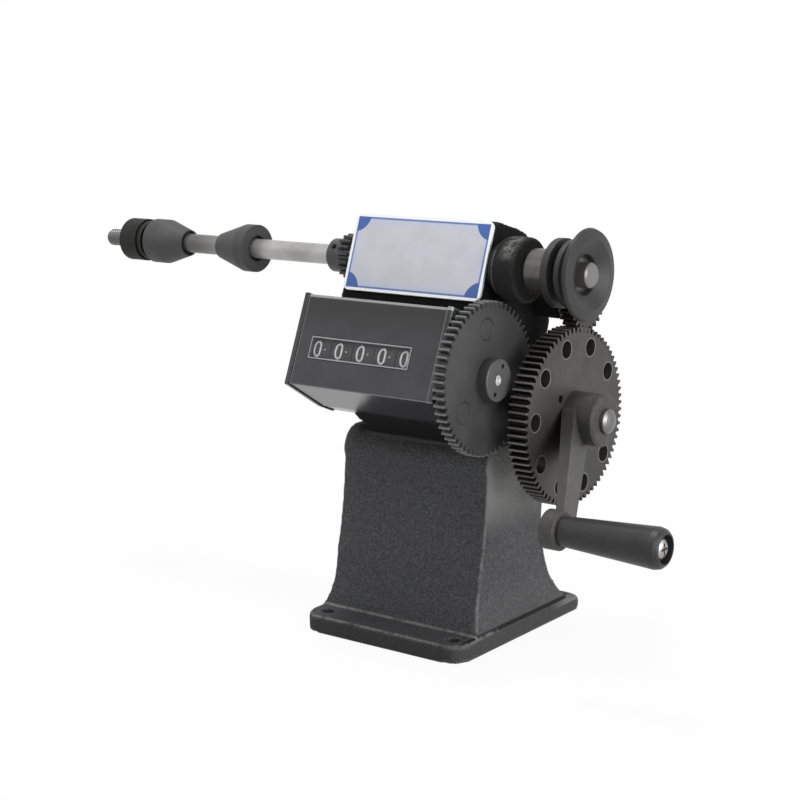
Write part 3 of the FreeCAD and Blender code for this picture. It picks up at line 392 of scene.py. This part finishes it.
# ---- finishes ----
def iron_finish():
    """Rough black paint, worn pale at edges with painted highlights there, painted light on the
    side under the gear, and painted shade on the neck, head and column's rear.
    """
    tint, _, _ = settings()
    skin = Finish("rough_iron_paint")
    grain = skin.cloud(1000.0, 3.0, 0.6)
    lumps = skin.cloud(260.0, 2.0)
    edges = skin.node("ShaderNodeNewGeometry", {}, {}, "Pointiness").rise(0.515, 0.555)
    x, y, z = skin.split()

    patches = skin.cloud(150.0, 4.0, 0.6).rise(0.3, 0.55)
    foot = y.near(FOOT_Y, 0.8 * MM, 0.3 * MM) * z.near(FOOT_Z, 1.2 * MM, 0.6 * MM)
    front_rim = y.near(BASE_FRONT, 0.8 * MM, 0.2 * MM) * z.rise(*BASE_RIM_Z)
    side_rim = x.near(BASE_RIGHT, 0.8 * MM, 0.2 * MM) * z.rise(*BASE_RIM_Z)
    side_rim = side_rim * (y < RIGHT_RIM_END)
    boss = skin.radius(SPINDLE).rise(*BOSS_RADIUS) * x.near(BOSS_X, 4.5 * MM, 1.5 * MM)
    boss = boss * z.rise(*BOSS_TOP_Z)
    boss = boss * (1.0 - y.rise(*BOSS_FRONT_Y))
    rubbed = skin.cloud(420.0, 4.0, 0.7).rise(0.36, 0.6)
    # painted shade: the neck, the head and the column's rear are painted near black, as if in
    # shadow
    painted_shade = z.rise(*NECK_Z).higher(y.rise(*SHADE_Y) * z.rise(*SHADE_Z))
    away = y.rise(*AWAY_Y).higher(1.0 - x.rise(*AWAY_X))
    painted_shade = painted_shade * (1.0 - away * (x < HEAD_RIGHT) * 0.6)
    edges = edges * (1.0 - painted_shade * 0.9)
    # wear and painted highlights: edges, the foot line and the base rims are made pale
    worn = (edges * 0.7 + foot * 0.9).lower(1.0) * patches.higher(0.35)
    worn = worn + front_rim.higher(side_rim) * patches * 0.6 + boss * rubbed * 0.75
    # painted shadow in the crease where the column's right side meets the base
    crease_shadow = z.near(CREASE_SHADOW_Z, 1.2 * MM, 0.4 * MM) * (x > CREASE_SHADOW_X)
    # painted light: the column's right side is paler, most higher up and a little at the foot, as
    # if lit
    painted_side_light = z.rise(*SIDE_LIGHT_HIGH_Z) * 0.95 + (1.0 - z.rise(*SIDE_LIGHT_LOW_Z)) * 0.06
    corner = y.rise(*CORNER_Y) * x.rise(*CORNER_X)
    corner = corner * z.rise(*CORNER_LOW_Z) * (1.0 - z.rise(*CORNER_HIGH_Z))

    base = skin.blend(grain.rise(0.32, 0.76), tint.iron, tint.iron_dust)
    base = skin.blend((1.0 - z.rise(*BASE_SHADE_Z)) * 0.55, base, scaled(tint.iron, 0.4))
    base = skin.blend(painted_side_light * x.rise(*COLUMN_RIGHT), base, scaled(tint.iron_wear_and_highlight, 1.35))
    base = skin.blend(corner * 0.6, base, tint.iron_wear_and_highlight)
    base = skin.blend(painted_shade * 0.95, base, scaled(tint.iron, 0.11))
    base = skin.blend(crease_shadow * 0.85, base, SHADOW_BLACK)
    base = skin.blend(worn, base, tint.iron_wear_and_highlight)
    height = grain * 0.8 + lumps * 0.4
    return skin.close(base_color=base, roughness=0.5 + grain * 0.2 + painted_shade * 0.15,
                      specular_ior_level=0.07, normal=skin.bump(height, 1.35 * MM, 1.0))


def steel_finish(name, tone, axis, rough=0.26, lengthways=False, metal=1.0):
    """Ground or turned steel with fine marks round its axis, duller where metal is low."""
    _, size, _ = settings()
    skin = Finish(name)
    x, _, _ = skin.split()
    marks = skin.streaks(skin.radius(axis) if lengthways else x, 2600.0)
    blotch = skin.cloud(120.0, 3.0)
    base = skin.blend(blotch.rise(0.3, 0.75), tone, scaled(tone, 0.72))
    return skin.close(base_color=base, metallic=metal, roughness=rough + marks * 0.12,
                      normal=skin.bump(marks, 0.012 * MM, 0.5, size.edge_round))


def thread_finish():
    """Ground steel whose outer end is threaded, with painted shade towards that end, and darker at
    the other.
    """
    tint, size, _ = settings()
    skin = Finish("spindle_steel")
    x, y, z = skin.about(SPINDLE)
    turn = y.maths("ARCTAN2", z) / (2 * math.pi)
    saw = (x / size.thread_pitch + turn).maths("PINGPONG", 0.5) * 2.0
    thread = x < THREAD_END
    marks = skin.streaks(x, 2600.0)
    blotch = skin.cloud(90.0, 3.0)
    base = skin.blend(blotch.rise(0.3, 0.7), scaled(tint.steel, 1.6), scaled(tint.steel, 1.15))
    # painted shade: the spindle by the cones is darkened as if shaded by them
    cone_shade = (1.0 - x.rise(*CONE_SHADE_X)) * 0.92
    base = skin.blend(cone_shade, base, scaled(tint.steel, 0.3))
    base = skin.blend((x > 0.0) * 0.9, base, scaled(tint.steel, 0.5))
    height = saw * thread * 0.35 + marks * 0.012
    return skin.close(base_color=base, metallic=0.55, roughness=0.3 + marks * 0.12,
                      normal=skin.bump(height, 1.0 * MM, 1.0, size.edge_round))


def gear_steel_finish():
    """Blackened crank gear, bright round its ten holes, with painted highlights on its tooth tips
    and painted shade in its holes and between its teeth.
    """
    tint, size, _ = settings()
    skin = Finish("blackened_gear_steel")
    x, y, z = skin.about(CRANK)
    radius = (y * y + z * z).root()
    angle = z.maths("ARCTAN2", y) - HOLE_START
    turn = angle.maths("WRAP", math.pi / HOLES, -math.pi / HOLES)
    across = radius * turn.maths("COSINE") - HOLE_CIRCLE
    beside = radius * turn.maths("SINE")
    off_hole = (across * across + beside * beside).root()
    rim = 1.0 - off_hole.rise(*HOLE_BEVEL)
    bore = 1.0 - off_hole.rise(*HOLE_BORE)
    tips = radius.rise(*GEAR_TIP)
    gap = radius.rise(*GEAR_ROOT) * (x < GEAR_FACE) * (1.0 - tips)
    marks = skin.streaks(radius, 1500.0)
    stain = skin.cloud(55.0, 4.0).rise(0.35, 0.7)
    base = skin.blend(stain, tint.gear_steel, scaled(tint.gear_steel, 0.72))
    base = skin.blend(rim * 0.6, base, (0.3, 0.29, 0.27))
    # painted highlight on the tooth tips
    base = skin.blend(tips * 0.5, base, (0.2, 0.19, 0.18))
    # painted shade in the holes' bores and between the teeth
    base = skin.blend(bore.higher(gap) * 0.85, base, (0.008, 0.007, 0.006))
    return skin.close(base_color=base, metallic=0.85, roughness=0.43 + marks * 0.14 - tips * 0.1,
                      normal=skin.bump(marks, 0.035 * MM, 0.8, size.edge_round))


def plastic_finish(name, tone, rough, rings=(), specular=0.45, edge=None, rubbed=None):
    """Moulded plastic or enamel with a faint grain.

    The counter gear gives the middles of its ejector rings, and has a painted highlight on its
    tooth tips and painted light on its hub face.
    Rubbed is the colour of worn patches.
    """
    _, size, _ = settings()
    skin = Finish(name)
    grain = skin.cloud(1500.0, 2.0)
    blotch = skin.cloud(70.0, 3.0)
    height = grain * 0.02
    base = skin.blend(blotch.rise(0.35, 0.7), tone, scaled(tone, 1.25))
    for middle in rings:
        clear = abs(skin.radius(middle) - EJECTOR_RADIUS).rise(0.1 * MM, 0.4 * MM)
        height = height + clear * 0.6
        base = skin.blend((1.0 - clear) * 0.8, base, scaled(tone, 0.15))
    if rubbed:
        bare = skin.cloud(170.0, 5.0, 0.7).rise(0.5, 0.7)
        base = skin.blend(bare * 0.6, base, rubbed)
    # painted highlight on the counter gear's tooth tips, painted light on its hub face
    if rings:
        tips = skin.radius(COUNTER).rise(*COUNTER_GEAR_TIP)
        hub = skin.split()[0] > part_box("counter_gear")[1].x - 0.3 * MM
        base = skin.blend((tips * 0.8).higher(hub * 0.3), base, (0.16, 0.16, 0.16))
    return skin.close(base_color=base, roughness=rough + blotch * 0.12,
                      specular_ior_level=specular,
                      normal=skin.bump(height, 0.5 * MM, 0.7, edge or size.edge_round))


def case_finish():
    """Glossy case, with painted highlights along its edges, painted shade higher up its front and
    painted shade round the window.
    """
    tint, size, _ = settings()
    skin = Finish("case_charcoal")
    x, y, z = skin.about(COUNTER)
    up = up_a_face(y, z, COUNTER_TILT)
    front = (y * math.cos(COUNTER_TILT) - z * math.sin(COUNTER_TILT)) < CASE_FACE

    top = up.near(CASE_TOP, 1.0 * MM)
    low = up.near(CASE_LOW, 0.45 * MM)
    sides = x.near(CASE_LEFT - 2.3 * MM, 0.3 * MM).higher(x.near(CASE_LEFT + 0.4 * MM, 0.35 * MM))
    sides = sides.higher(x.near(CASE_RIGHT - 0.2 * MM, 0.5 * MM) * 0.8)
    pale = (top.higher(low * 0.45) * (x > CASE_LEFT)).higher(sides * 0.55)
    middle, half = (WINDOW[0] + WINDOW[1]) / 2, (WINDOW[1] - WINDOW[0]) / 2
    past = (abs(x - middle) - half).higher(abs(up - WINDOW_UP) - WINDOW_HALF)
    shade = (1.0 - past.rise(0.25 * MM, 0.5 * MM)).higher(x.near(CASE_LEFT, 0.35 * MM))

    blotch = skin.cloud(70.0, 3.0)
    base = skin.blend(blotch.rise(0.35, 0.7), tint.case, scaled(tint.case, 1.25))
    # painted shade: the case's front is darker higher up
    base = skin.blend(up.rise(*CASE_SHADE_UP) * front * 0.75, base, scaled(tint.case, 0.3))
    # painted highlights along the case's top, bottom and end edges
    base = skin.blend(pale * front, base, tint.case_highlight)
    # painted shade in the window's recess and along the left end
    base = skin.blend(shade * front * 0.9, base, SHADOW_BLACK)
    return skin.close(base_color=base, roughness=0.13 + blotch * 0.12, specular_ior_level=0.5,
                      normal=skin.bump(skin.cloud(1500.0, 2.0) * 0.01, 0.5 * MM, 0.4,
                                       size.case_round))


def nut_finish():
    """Black finger nut with fine straight knurling round its rim."""
    tint, size, _ = settings()
    skin = Finish("knurled_plastic")
    _, y, z = skin.about(SPINDLE)
    turns = y.maths("ARCTAN2", z) * (NUT_RIDGES / (2 * math.pi))
    ridges = turns.maths("PINGPONG", 0.5) * 2.0
    rim = skin.radius(SPINDLE).rise(*NUT_RIM)
    base = skin.blend(ridges * rim, scaled(tint.plastic, 0.4), tint.plastic)
    return skin.close(base_color=base, roughness=0.5 + ridges * 0.1, specular_ior_level=0.16,
                      normal=skin.bump(ridges * rim, 0.35 * MM, 0.8, size.edge_round))


def plate_finish():
    """Bare metal plate with a printed line and plain corner discs."""
    tint, size, _ = settings()
    low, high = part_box("name_plate")
    middle = (low + high) / 2
    skin = Finish("plain_plate")
    x, y, z = skin.about((middle.y, middle.z))
    side = PLATE_HALF[0] - abs(x - middle.x)
    end = PLATE_HALF[1] - abs(up_a_face(y, z, PLATE_TILT))
    edge = side.lower(end)
    corner = (side * side + end * end).root()
    disc = 1.0 - corner.rise(size.plate_corner + 1.2 * MM, size.plate_corner + 1.4 * MM)
    inside = edge.rise(size.rim_width - 0.1 * MM, size.rim_width + 0.1 * MM)
    line = inside * (1.0 - edge.rise(size.rim_width + 0.75 * MM, size.rim_width + 1.0 * MM))
    ink = (disc * inside).higher(line * 0.8)
    brushed = skin.node("ShaderNodeTexNoise", {}, {
        "Vector": skin.node("ShaderNodeVectorMath", {"operation": "MULTIPLY"},
                            {0: skin.place, 1: (40.0, 1800.0, 1800.0)}),
        "Scale": 1.0, "Detail": 3.0})
    wash = 1.0 - edge.rise(2.0 * MM, 6.0 * MM)
    haze = skin.cloud(110.0, 3.0, 0.55).rise(0.35, 0.7)
    bare = skin.blend(haze, tint.plate, scaled(tint.plate, 0.93))
    bare = skin.blend(wash * 0.35, bare, (0.4, 0.47, 0.7))
    base = skin.blend(ink, bare, tint.plate_line)
    base = skin.blend(1.0 - inside, base, tint.plate_rim)
    return skin.close(base_color=base, metallic=(1.0 - ink) * 0.35,
                      roughness=0.38 + brushed * 0.16,
                      normal=skin.bump(brushed * 0.3 - ink * 0.2, 0.05 * MM, 0.7,
                                       size.edge_round))


def pane_finish():
    """Clear pane with a pale moulded frame."""
    tint, _, _ = settings()
    low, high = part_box("counter_window")
    middle = (low + high) / 2
    skin = Finish("clear_pane")
    x, y, z = skin.about((middle.y, middle.z))
    side = PANE_HALF - abs(x - middle.x)
    edge = side.lower(WINDOW_HALF - abs(up_a_face(y, z, COUNTER_TILT)))
    frame_band = 1.0 - edge.rise(0.45 * MM, 0.6 * MM)
    scuff = skin.cloud(300.0, 3.0).rise(0.55, 0.8)
    # the pane's faint grey over the drums is a painted reflection
    return skin.close(base_color=skin.blend(frame_band, (0.2, 0.2, 0.21), tint.pane),
                      roughness=0.06 + scuff * 0.12, alpha=0.13 + frame_band * 0.8,
                      specular_ior_level=0.5)


def ink_finish():
    """Slightly worn white ink."""
    tint, _, _ = settings()
    skin = Finish("numeral_white")
    worn = skin.cloud(900.0, 3.0).rise(0.5, 0.85)
    base = skin.blend(worn, tint.numeral, scaled(tint.numeral, 0.8))
    return skin.close(base_color=base, roughness=0.45 + worn * 0.2,
                      normal=skin.bump(worn, 0.02 * MM, 0.5))


# ---- meshes ----
def piece(name, bm, body, material):
    """Make an object from a bmesh, and let it ride on a body."""
    mesh = bpy.data.meshes.new(name)
    bm.to_mesh(mesh)
    bm.free()
    thing = bpy.data.objects.new(name, mesh)
    bpy.context.scene.collection.objects.link(thing)
    mesh.materials.append(material)
    mesh.polygons.foreach_set("use_smooth", [True] * len(mesh.polygons))
    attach(thing, body)
    return thing


def cast_skin(source, voxel, rounds, lump):
    """A copy of the casting with rounded edges and slight waves, but a flat underside."""
    work = bpy.data.objects.new("skin_work", source.data.copy())
    bpy.context.scene.collection.objects.link(work)
    grid = work.modifiers.new("grid", "REMESH")
    grid.mode, grid.voxel_size = "VOXEL", voxel
    soften = work.modifiers.new("soften", "SMOOTH")
    soften.factor, soften.iterations = 0.5, rounds
    bpy.context.view_layer.update()
    mesh = bpy.data.meshes.new_from_object(
        work.evaluated_get(bpy.context.evaluated_depsgraph_get()))
    bpy.data.objects.remove(work)
    bm = bmesh.new()
    bm.from_mesh(mesh)
    bm.normal_update()
    for vert in bm.verts:
        if vert.co.z >= UNDERSIDE:
            wave = noise.noise(vert.co * 170.0) + 0.5 * noise.noise(vert.co * 420.0)
            vert.co += vert.normal * (lump * wave)
    return bm


# Corners of each numeral's stroke: across and up, both 0 to 1, and 1 where the corner is round.
NUMERAL_STROKES = (
    [(0.5, 1, 1), (0.88, 0.88, 1), (1, 0.62, 1), (1, 0.38, 1), (0.88, 0.12, 1), (0.5, 0, 1),
     (0.12, 0.12, 1), (0, 0.38, 1), (0, 0.62, 1), (0.12, 0.88, 1), (0.5, 1, 1)],
    [(0.2, 0.82, 0), (0.55, 1, 0), (0.55, 0, 0)],
    [(0, 0.75, 1), (0.5, 1, 1), (1, 0.75, 1), (0.75, 0.4, 1), (0, 0, 0), (1, 0, 0)],
    [(0, 0.85, 1), (0.5, 1, 1), (1, 0.78, 1), (0.5, 0.54, 0), (1, 0.28, 1), (0.5, 0, 1),
     (0, 0.15, 1)],
    [(0.75, 0, 0), (0.75, 1, 0), (0, 0.3, 0), (1, 0.3, 0)],
    [(0.95, 1, 0), (0.12, 1, 0), (0.05, 0.55, 0), (0.55, 0.62, 1), (1, 0.32, 1), (0.5, 0, 1),
     (0, 0.14, 1)],
    [(0.9, 0.95, 1), (0.25, 0.75, 1), (0, 0.3, 1), (0.5, 0, 1), (1, 0.28, 1), (0.5, 0.56, 1),
     (0.05, 0.34, 1)],
    [(0, 1, 0), (1, 1, 0), (0.4, 0, 0)],
    [(0.5, 0.53, 1), (0.9, 0.76, 1), (0.5, 1, 1), (0.1, 0.76, 1), (0.5, 0.53, 1),
     (1, 0.26, 1), (0.5, 0, 1), (0, 0.26, 1), (0.5, 0.53, 1)],
    [(0.1, 0.05, 1), (0.75, 0.25, 1), (1, 0.7, 1), (0.5, 1, 1), (0, 0.72, 1), (0.5, 0.44, 1),
     (0.95, 0.66, 1)],
)


def stroke_path(points, steps=7):
    """Points along a stroke, curved through the corners that are marked round."""
    flat = [Vector(point[:2]) for point in points]
    closed = flat[0] == flat[-1]
    path = []
    for index in range(len(flat) - 1):
        start, end = flat[index], flat[index + 1]
        before = flat[index - 1] if index else (flat[-2] if closed else start)
        after = flat[index + 2] if index + 2 < len(flat) else (flat[1] if closed else end)
        lead = (end - before) * 0.5 if points[index][2] else end - start
        trail = (after - start) * 0.5 if points[index + 1][2] else end - start
        for step in range(steps):
            t = step / steps
            path.append((2 * t ** 3 - 3 * t ** 2 + 1) * start + (t ** 3 - 2 * t ** 2 + t) * lead
                        + (3 * t ** 2 - 2 * t ** 3) * end + (t ** 3 - t ** 2) * trail)
    path.append(flat[-1])
    return path


def add_ribbon(bm, path, half, place):
    """A flat band along a path, laid on the drum by a function of (across, up)."""
    rows = []
    for index, point in enumerate(path):
        back = path[max(index - 1, 0)]
        ahead = path[min(index + 1, len(path) - 1)]
        if path[0] == path[-1] and index in (0, len(path) - 1):
            back, ahead = path[-2], path[1]
        way = (ahead - back).normalized()
        side = Vector((-way.y, way.x)) * half
        rows.append([bm.verts.new(place(*(point + side * edge))) for edge in (-1, 0, 1)])
    for first, second in zip(rows, rows[1:]):
        for edge in range(2):
            bm.faces.new((first[edge], first[edge + 1], second[edge + 1], second[edge]))


def drum_numerals(middle, size):
    """Ten numerals and their small dashes, wrapped round one drum; 0 faces the window."""
    bm = bmesh.new()
    for digit, points in enumerate(NUMERAL_STROKES):
        turn = digit * math.pi / 5

        def place(across, up):
            angle = COUNTER_TILT - turn + up / DRUM_RADIUS
            return (middle + across, DRUMS[0] - DRUM_RADIUS * math.cos(angle),
                    DRUMS[1] + DRUM_RADIUS * math.sin(angle))

        path = [Vector(((point.x - 0.5) * (size.numeral_width - size.stroke),
                        (point.y - 0.5) * (size.numeral_height - size.stroke)))
                for point in stroke_path(points)]
        add_ribbon(bm, path, size.stroke / 2, place)
        add_ribbon(bm, [Vector((DASH[0], 0)), Vector((DASH[1], 0))], DASH[2], place)
    bmesh.ops.recalc_face_normals(bm, faces=bm.faces)
    return bm


# ---- one operator for each group of pieces ----
class WINDER_OT_casting(Operator):
    """Lay the rough cast skin over the casting"""
    bl_idname = "winder.casting"
    bl_label = "Casting"

    def execute(self, context):
        _, size, _ = settings()
        skin = piece("cast_skin", cast_skin(NODES["frame_casting"], size.skin_voxel,
                                            size.skin_smoothing, size.skin_lump),
                     "stand", iron_finish())
        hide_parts("frame_casting")
        wear(skin.data.materials[0], "frame_casting")
        return {"FINISHED"}


class WINDER_OT_plate(Operator):
    """Finish the plain plate on the head"""
    bl_idname = "winder.plate"
    bl_label = "Plate"

    def execute(self, context):
        wear(plate_finish(), "name_plate")
        return {"FINISHED"}


class WINDER_OT_spindle(Operator):
    """Finish the spindle, its cones, nut and pulley"""
    bl_idname = "winder.spindle"
    bl_label = "Spindle"

    def execute(self, context):
        tint, size, _ = settings()
        wear(thread_finish(), "spindle_shaft")
        wear(steel_finish("screw_and_washer_steel", tint.steel, SPINDLE, 0.3, True),
             "spindle_thrust_washer", "spindle_collar_screw")
        wear(steel_finish("collar_steel", tint.collar_steel, SPINDLE, 0.24, metal=0.7),
             "spindle_collar")
        # on the pinion's set screw this dark is painted shade in its hole; the clamp washer is
        # dark itself
        wear(steel_finish("washer_steel", scaled(tint.collar_steel, 0.4), SPINDLE, 0.5, True),
             "clamp_washer", "spindle_pinion_screw")
        wear(plastic_finish("cone_plastic", tint.cone, 0.52, specular=0.35,
                            edge=size.cone_round), "cone_left", "cone_right")
        wear(nut_finish(), "clamp_nut")
        wear(plastic_finish("pinion_plastic", scaled(tint.plastic, 1.8), 0.32),
             "spindle_pinion")
        wear(plastic_finish("pulley_plastic", scaled(tint.plastic, 0.75), 0.4, specular=0.33,
                            edge=size.cone_round), "pulley")
        return {"FINISHED"}


class WINDER_OT_gears(Operator):
    """Finish the gears, shafts and bushes"""
    bl_idname = "winder.gears"
    bl_label = "Gears"

    def execute(self, context):
        tint, _, _ = settings()
        wear(gear_steel_finish(), "drive_gear")
        wear(steel_finish("pinion_steel", tint.gear_steel, LAYSHAFT, 0.4, True), "lay_pinion",
             "counter_drive_pinion")
        wear(steel_finish("shaft_steel", scaled(tint.steel, 0.75), CRANK, 0.32), "lay_shaft",
             "crank_shaft", "crank_pin")
        wear(steel_finish("small_steel", tint.steel, CRANK, 0.32, True), "lay_pinion_screw",
             "lay_gear_screw", "lay_thrust_washer", "counter_drive_screw",
             "crank_thrust_washer", "crank_collar_screw")
        wear(steel_finish("dark_collar", tint.collar_steel, CRANK, 0.36), "crank_shaft_collar")
        wear(steel_finish("bush_bronze", tint.bronze, SPINDLE, 0.36, True), "spindle_bush_left",
             "spindle_bush_right", "lay_bush_left", "lay_bush_right", "crank_bush_left",
             "crank_bush_right", "counter_input_bush")
        wear(plastic_finish("gear_plastic", tint.plastic, 0.42), "lay_gear")
        return {"FINISHED"}


class WINDER_OT_crank(Operator):
    """Finish the crank arm and its grip"""
    bl_idname = "winder.crank"
    bl_label = "Crank"

    def execute(self, context):
        tint, _, _ = settings()
        wear(plastic_finish("arm_enamel", tint.enamel, 0.5, specular=0.3,
                            rubbed=(0.085, 0.073, 0.06)), "crank_arm")
        wear(plastic_finish("grip_plastic", scaled(tint.plastic, 0.8), 0.36, specular=0.3),
             "crank_grip")
        wear(steel_finish("screw_steel", scaled(tint.steel, 1.5), GRIP, 0.3, True),
             "grip_screw")
        return {"FINISHED"}


class WINDER_OT_counter(Operator):
    """Finish the counter case, its window and its gear"""
    bl_idname = "winder.counter"
    bl_label = "Counter"

    def execute(self, context):
        tint, _, _ = settings()
        wear(case_finish(), "counter_case", "counter_end_left", "counter_end_right")
        rings = [(COUNTER[0] + EJECTOR_CIRCLE * math.cos(turn),
                  COUNTER[1] + EJECTOR_CIRCLE * math.sin(turn))
                 for turn in map(math.radians, EJECTOR_TURNS)]
        wear(plastic_finish("counter_gear_plastic", scaled(tint.plastic, 1.3), 0.38, rings),
             "counter_gear")
        wear(plastic_finish("drum_plastic", scaled(tint.plastic, 0.6), 0.5), *DRUM_WHEELS,
             "units_pinion", "counter_shaft_spacers", "counter_input_pinion")
        wear(plastic_finish("gasket_rubber", tint.plastic, 0.7), "counter_seat_pad")
        wear(steel_finish("counter_steel", tint.steel, COUNTER, 0.3, True), "counter_left_screws",
             "counter_right_screws", "counter_mount_screws", "counter_wheel_shaft")
        wear(steel_finish("polished_steel", (0.95, 0.95, 0.95), COUNTER, 0.45, True),
             "counter_input_shaft")
        wear(pane_finish(), "counter_window")
        return {"FINISHED"}


class WINDER_OT_numerals(Operator):
    """Lay the numerals on the five drums"""
    bl_idname = "winder.numerals"
    bl_label = "Numerals"

    def execute(self, context):
        _, size, _ = settings()
        ink = ink_finish()
        for index, body in enumerate(DRUM_BODIES):
            low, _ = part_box("digit_wheel_%d" % (index + 1))
            bm = drum_numerals(low.x + NUMERAL_X, size)
            piece("numerals_%d" % (index + 1), bm, body, ink)
        return {"FINISHED"}


class WINDER_OT_stage(Operator):
    """Set up the floor, the lamps and the camera"""
    bl_idname = "winder.stage"
    bl_label = "Stage"

    def execute(self, context):
        tint, _, stage = settings()
        self.lay_floor(context.scene, stage, tint.floor)
        self.light_world(context.scene, stage)
        self.hang_lamps(context.scene, stage)
        self.set_camera(context.scene, stage)
        context.scene.view_settings.view_transform = "Standard"
        return {"FINISHED"}

    def lay_floor(self, scene, stage, tone):
        """Pale floor that turns to plain white further out."""
        bm = bmesh.new()
        bmesh.ops.create_grid(bm, x_segments=1, y_segments=1, size=FLOOR_SIZE)
        mesh = bpy.data.meshes.new("floor")
        bm.to_mesh(mesh)
        bm.free()
        floor = bpy.data.objects.new("floor", mesh)
        floor.location.z = CAD_BOX[0].z - FLOOR_DROP
        scene.collection.objects.link(floor)
        paper = Finish("studio_floor")
        matt = paper.node("ShaderNodeBsdfDiffuse", {}, {"Color": (*tone, 1.0)})
        glow = paper.node("ShaderNodeEmission", {}, {"Color": WHITE, "Strength": 1.0})
        x, y, _ = paper.split()
        far = (x * x + y * y).root().rise(*FLOOR_FADE)
        share = stage.floor_glow + far * (1.0 - stage.floor_glow)
        paper.put_out("ShaderNodeOutputMaterial",
                      paper.node("ShaderNodeMixShader", {},
                                 {0: paper.seen() * share, 1: matt, 2: glow}))
        mesh.materials.append(paper.material)

    def light_world(self, scene, stage):
        """Soft light from all round, and a white background for what the camera sees."""
        scene.world = bpy.data.worlds.new("studio")
        scene.world.use_nodes = True
        sky = Wiring(scene.world.node_tree)
        soft, white = (sky.node("ShaderNodeBackground", {}, {"Strength": strength,
                                                             "Color": WHITE})
                       for strength in (stage.ambient, 1.0))
        sky.put_out("ShaderNodeOutputWorld",
                    sky.node("ShaderNodeMixShader", {}, {0: sky.seen(), 1: soft, 2: white}))

    def hang_lamps(self, scene, stage):
        """Square lamps that face the machine; each has its place from the middle and its size."""
        middle = (CAD_BOX[0] + CAD_BOX[1]) / 2
        lamps = (
            ("key", (-0.15, -0.7, 0.85), 0.5, stage.key),
            ("fill", (-0.9, -0.2, 0.35), 0.8, stage.fill),
            ("overhead", (-0.1, 0.0, 1.0), 0.25, stage.top),
            ("crank_side", (0.98, -0.12, 0.12), 0.85, stage.side),
        )
        for name, spot, size, watts in lamps:
            light = bpy.data.lights.new(name, "AREA")
            light.shape, light.size, light.energy = "SQUARE", size, watts
            lamp = bpy.data.objects.new(name, light)
            lamp.location = middle + Vector(spot)
            lamp.rotation_euler = (-Vector(spot)).to_track_quat("-Z", "Y").to_euler()
            scene.collection.objects.link(lamp)

    def set_camera(self, scene, stage):
        """Camera turned about Z, tipped down and rolled a little about its own sight."""
        sight = Vector((-math.sin(CAMERA_TURN) * math.cos(CAMERA_DROP),
                        math.cos(CAMERA_TURN) * math.cos(CAMERA_DROP), -math.sin(CAMERA_DROP)))
        right = Vector((math.cos(CAMERA_TURN), math.sin(CAMERA_TURN), 0.0))
        above = right.cross(sight)
        side = right * math.cos(CAMERA_ROLL) + above * math.sin(CAMERA_ROLL)
        head = above * math.cos(CAMERA_ROLL) - right * math.sin(CAMERA_ROLL)
        camera = bpy.data.objects.new("camera", bpy.data.cameras.new("camera"))
        camera.data.lens = stage.lens
        camera.data.sensor_width = SENSOR_WIDTH
        camera.matrix_world = Matrix.Translation(CAMERA_SPOT) @ Matrix((
            (side.x, head.x, -sight.x, 0), (side.y, head.y, -sight.y, 0),
            (side.z, head.z, -sight.z, 0), (0, 0, 0, 1)))
        scene.collection.objects.link(camera)
        scene.camera = camera


class WINDER_PT_panel(Panel):
    """Lists the pieces and their settings"""
    bl_label = "Winder"
    bl_space_type = "VIEW_3D"
    bl_region_type = "UI"
    bl_category = "Winder"

    def draw(self, context):
        for step in STEPS:
            self.layout.operator(step.bl_idname)
        for group in settings():
            box = self.layout.box()
            for name in group.__annotations__:
                box.prop(group, name)


STEPS = (WINDER_OT_casting, WINDER_OT_plate, WINDER_OT_spindle, WINDER_OT_gears,
         WINDER_OT_crank, WINDER_OT_counter, WINDER_OT_numerals, WINDER_OT_stage)
GROUPS = (WinderColours, WinderSizes, WinderStage)


def register():
    """Add the classes and their settings."""
    for kind in GROUPS + STEPS + (WINDER_PT_panel,):
        bpy.utils.register_class(kind)
    bpy.types.Scene.winder_colours = PointerProperty(type=WinderColours)
    bpy.types.Scene.winder_sizes = PointerProperty(type=WinderSizes)
    bpy.types.Scene.winder_stage = PointerProperty(type=WinderStage)


def unregister():
    """Take them away again."""
    del bpy.types.Scene.winder_stage
    del bpy.types.Scene.winder_sizes
    del bpy.types.Scene.winder_colours
    for kind in reversed(GROUPS + STEPS + (WINDER_PT_panel,)):
        bpy.utils.unregister_class(kind)


def main():
    """Build every piece."""
    register()
    bpy.ops.winder.casting()
    bpy.ops.winder.plate()
    bpy.ops.winder.spindle()
    bpy.ops.winder.gears()
    bpy.ops.winder.crank()
    bpy.ops.winder.counter()
    bpy.ops.winder.numerals()
    bpy.ops.winder.stage()


if __name__ == "__main__":
    main()
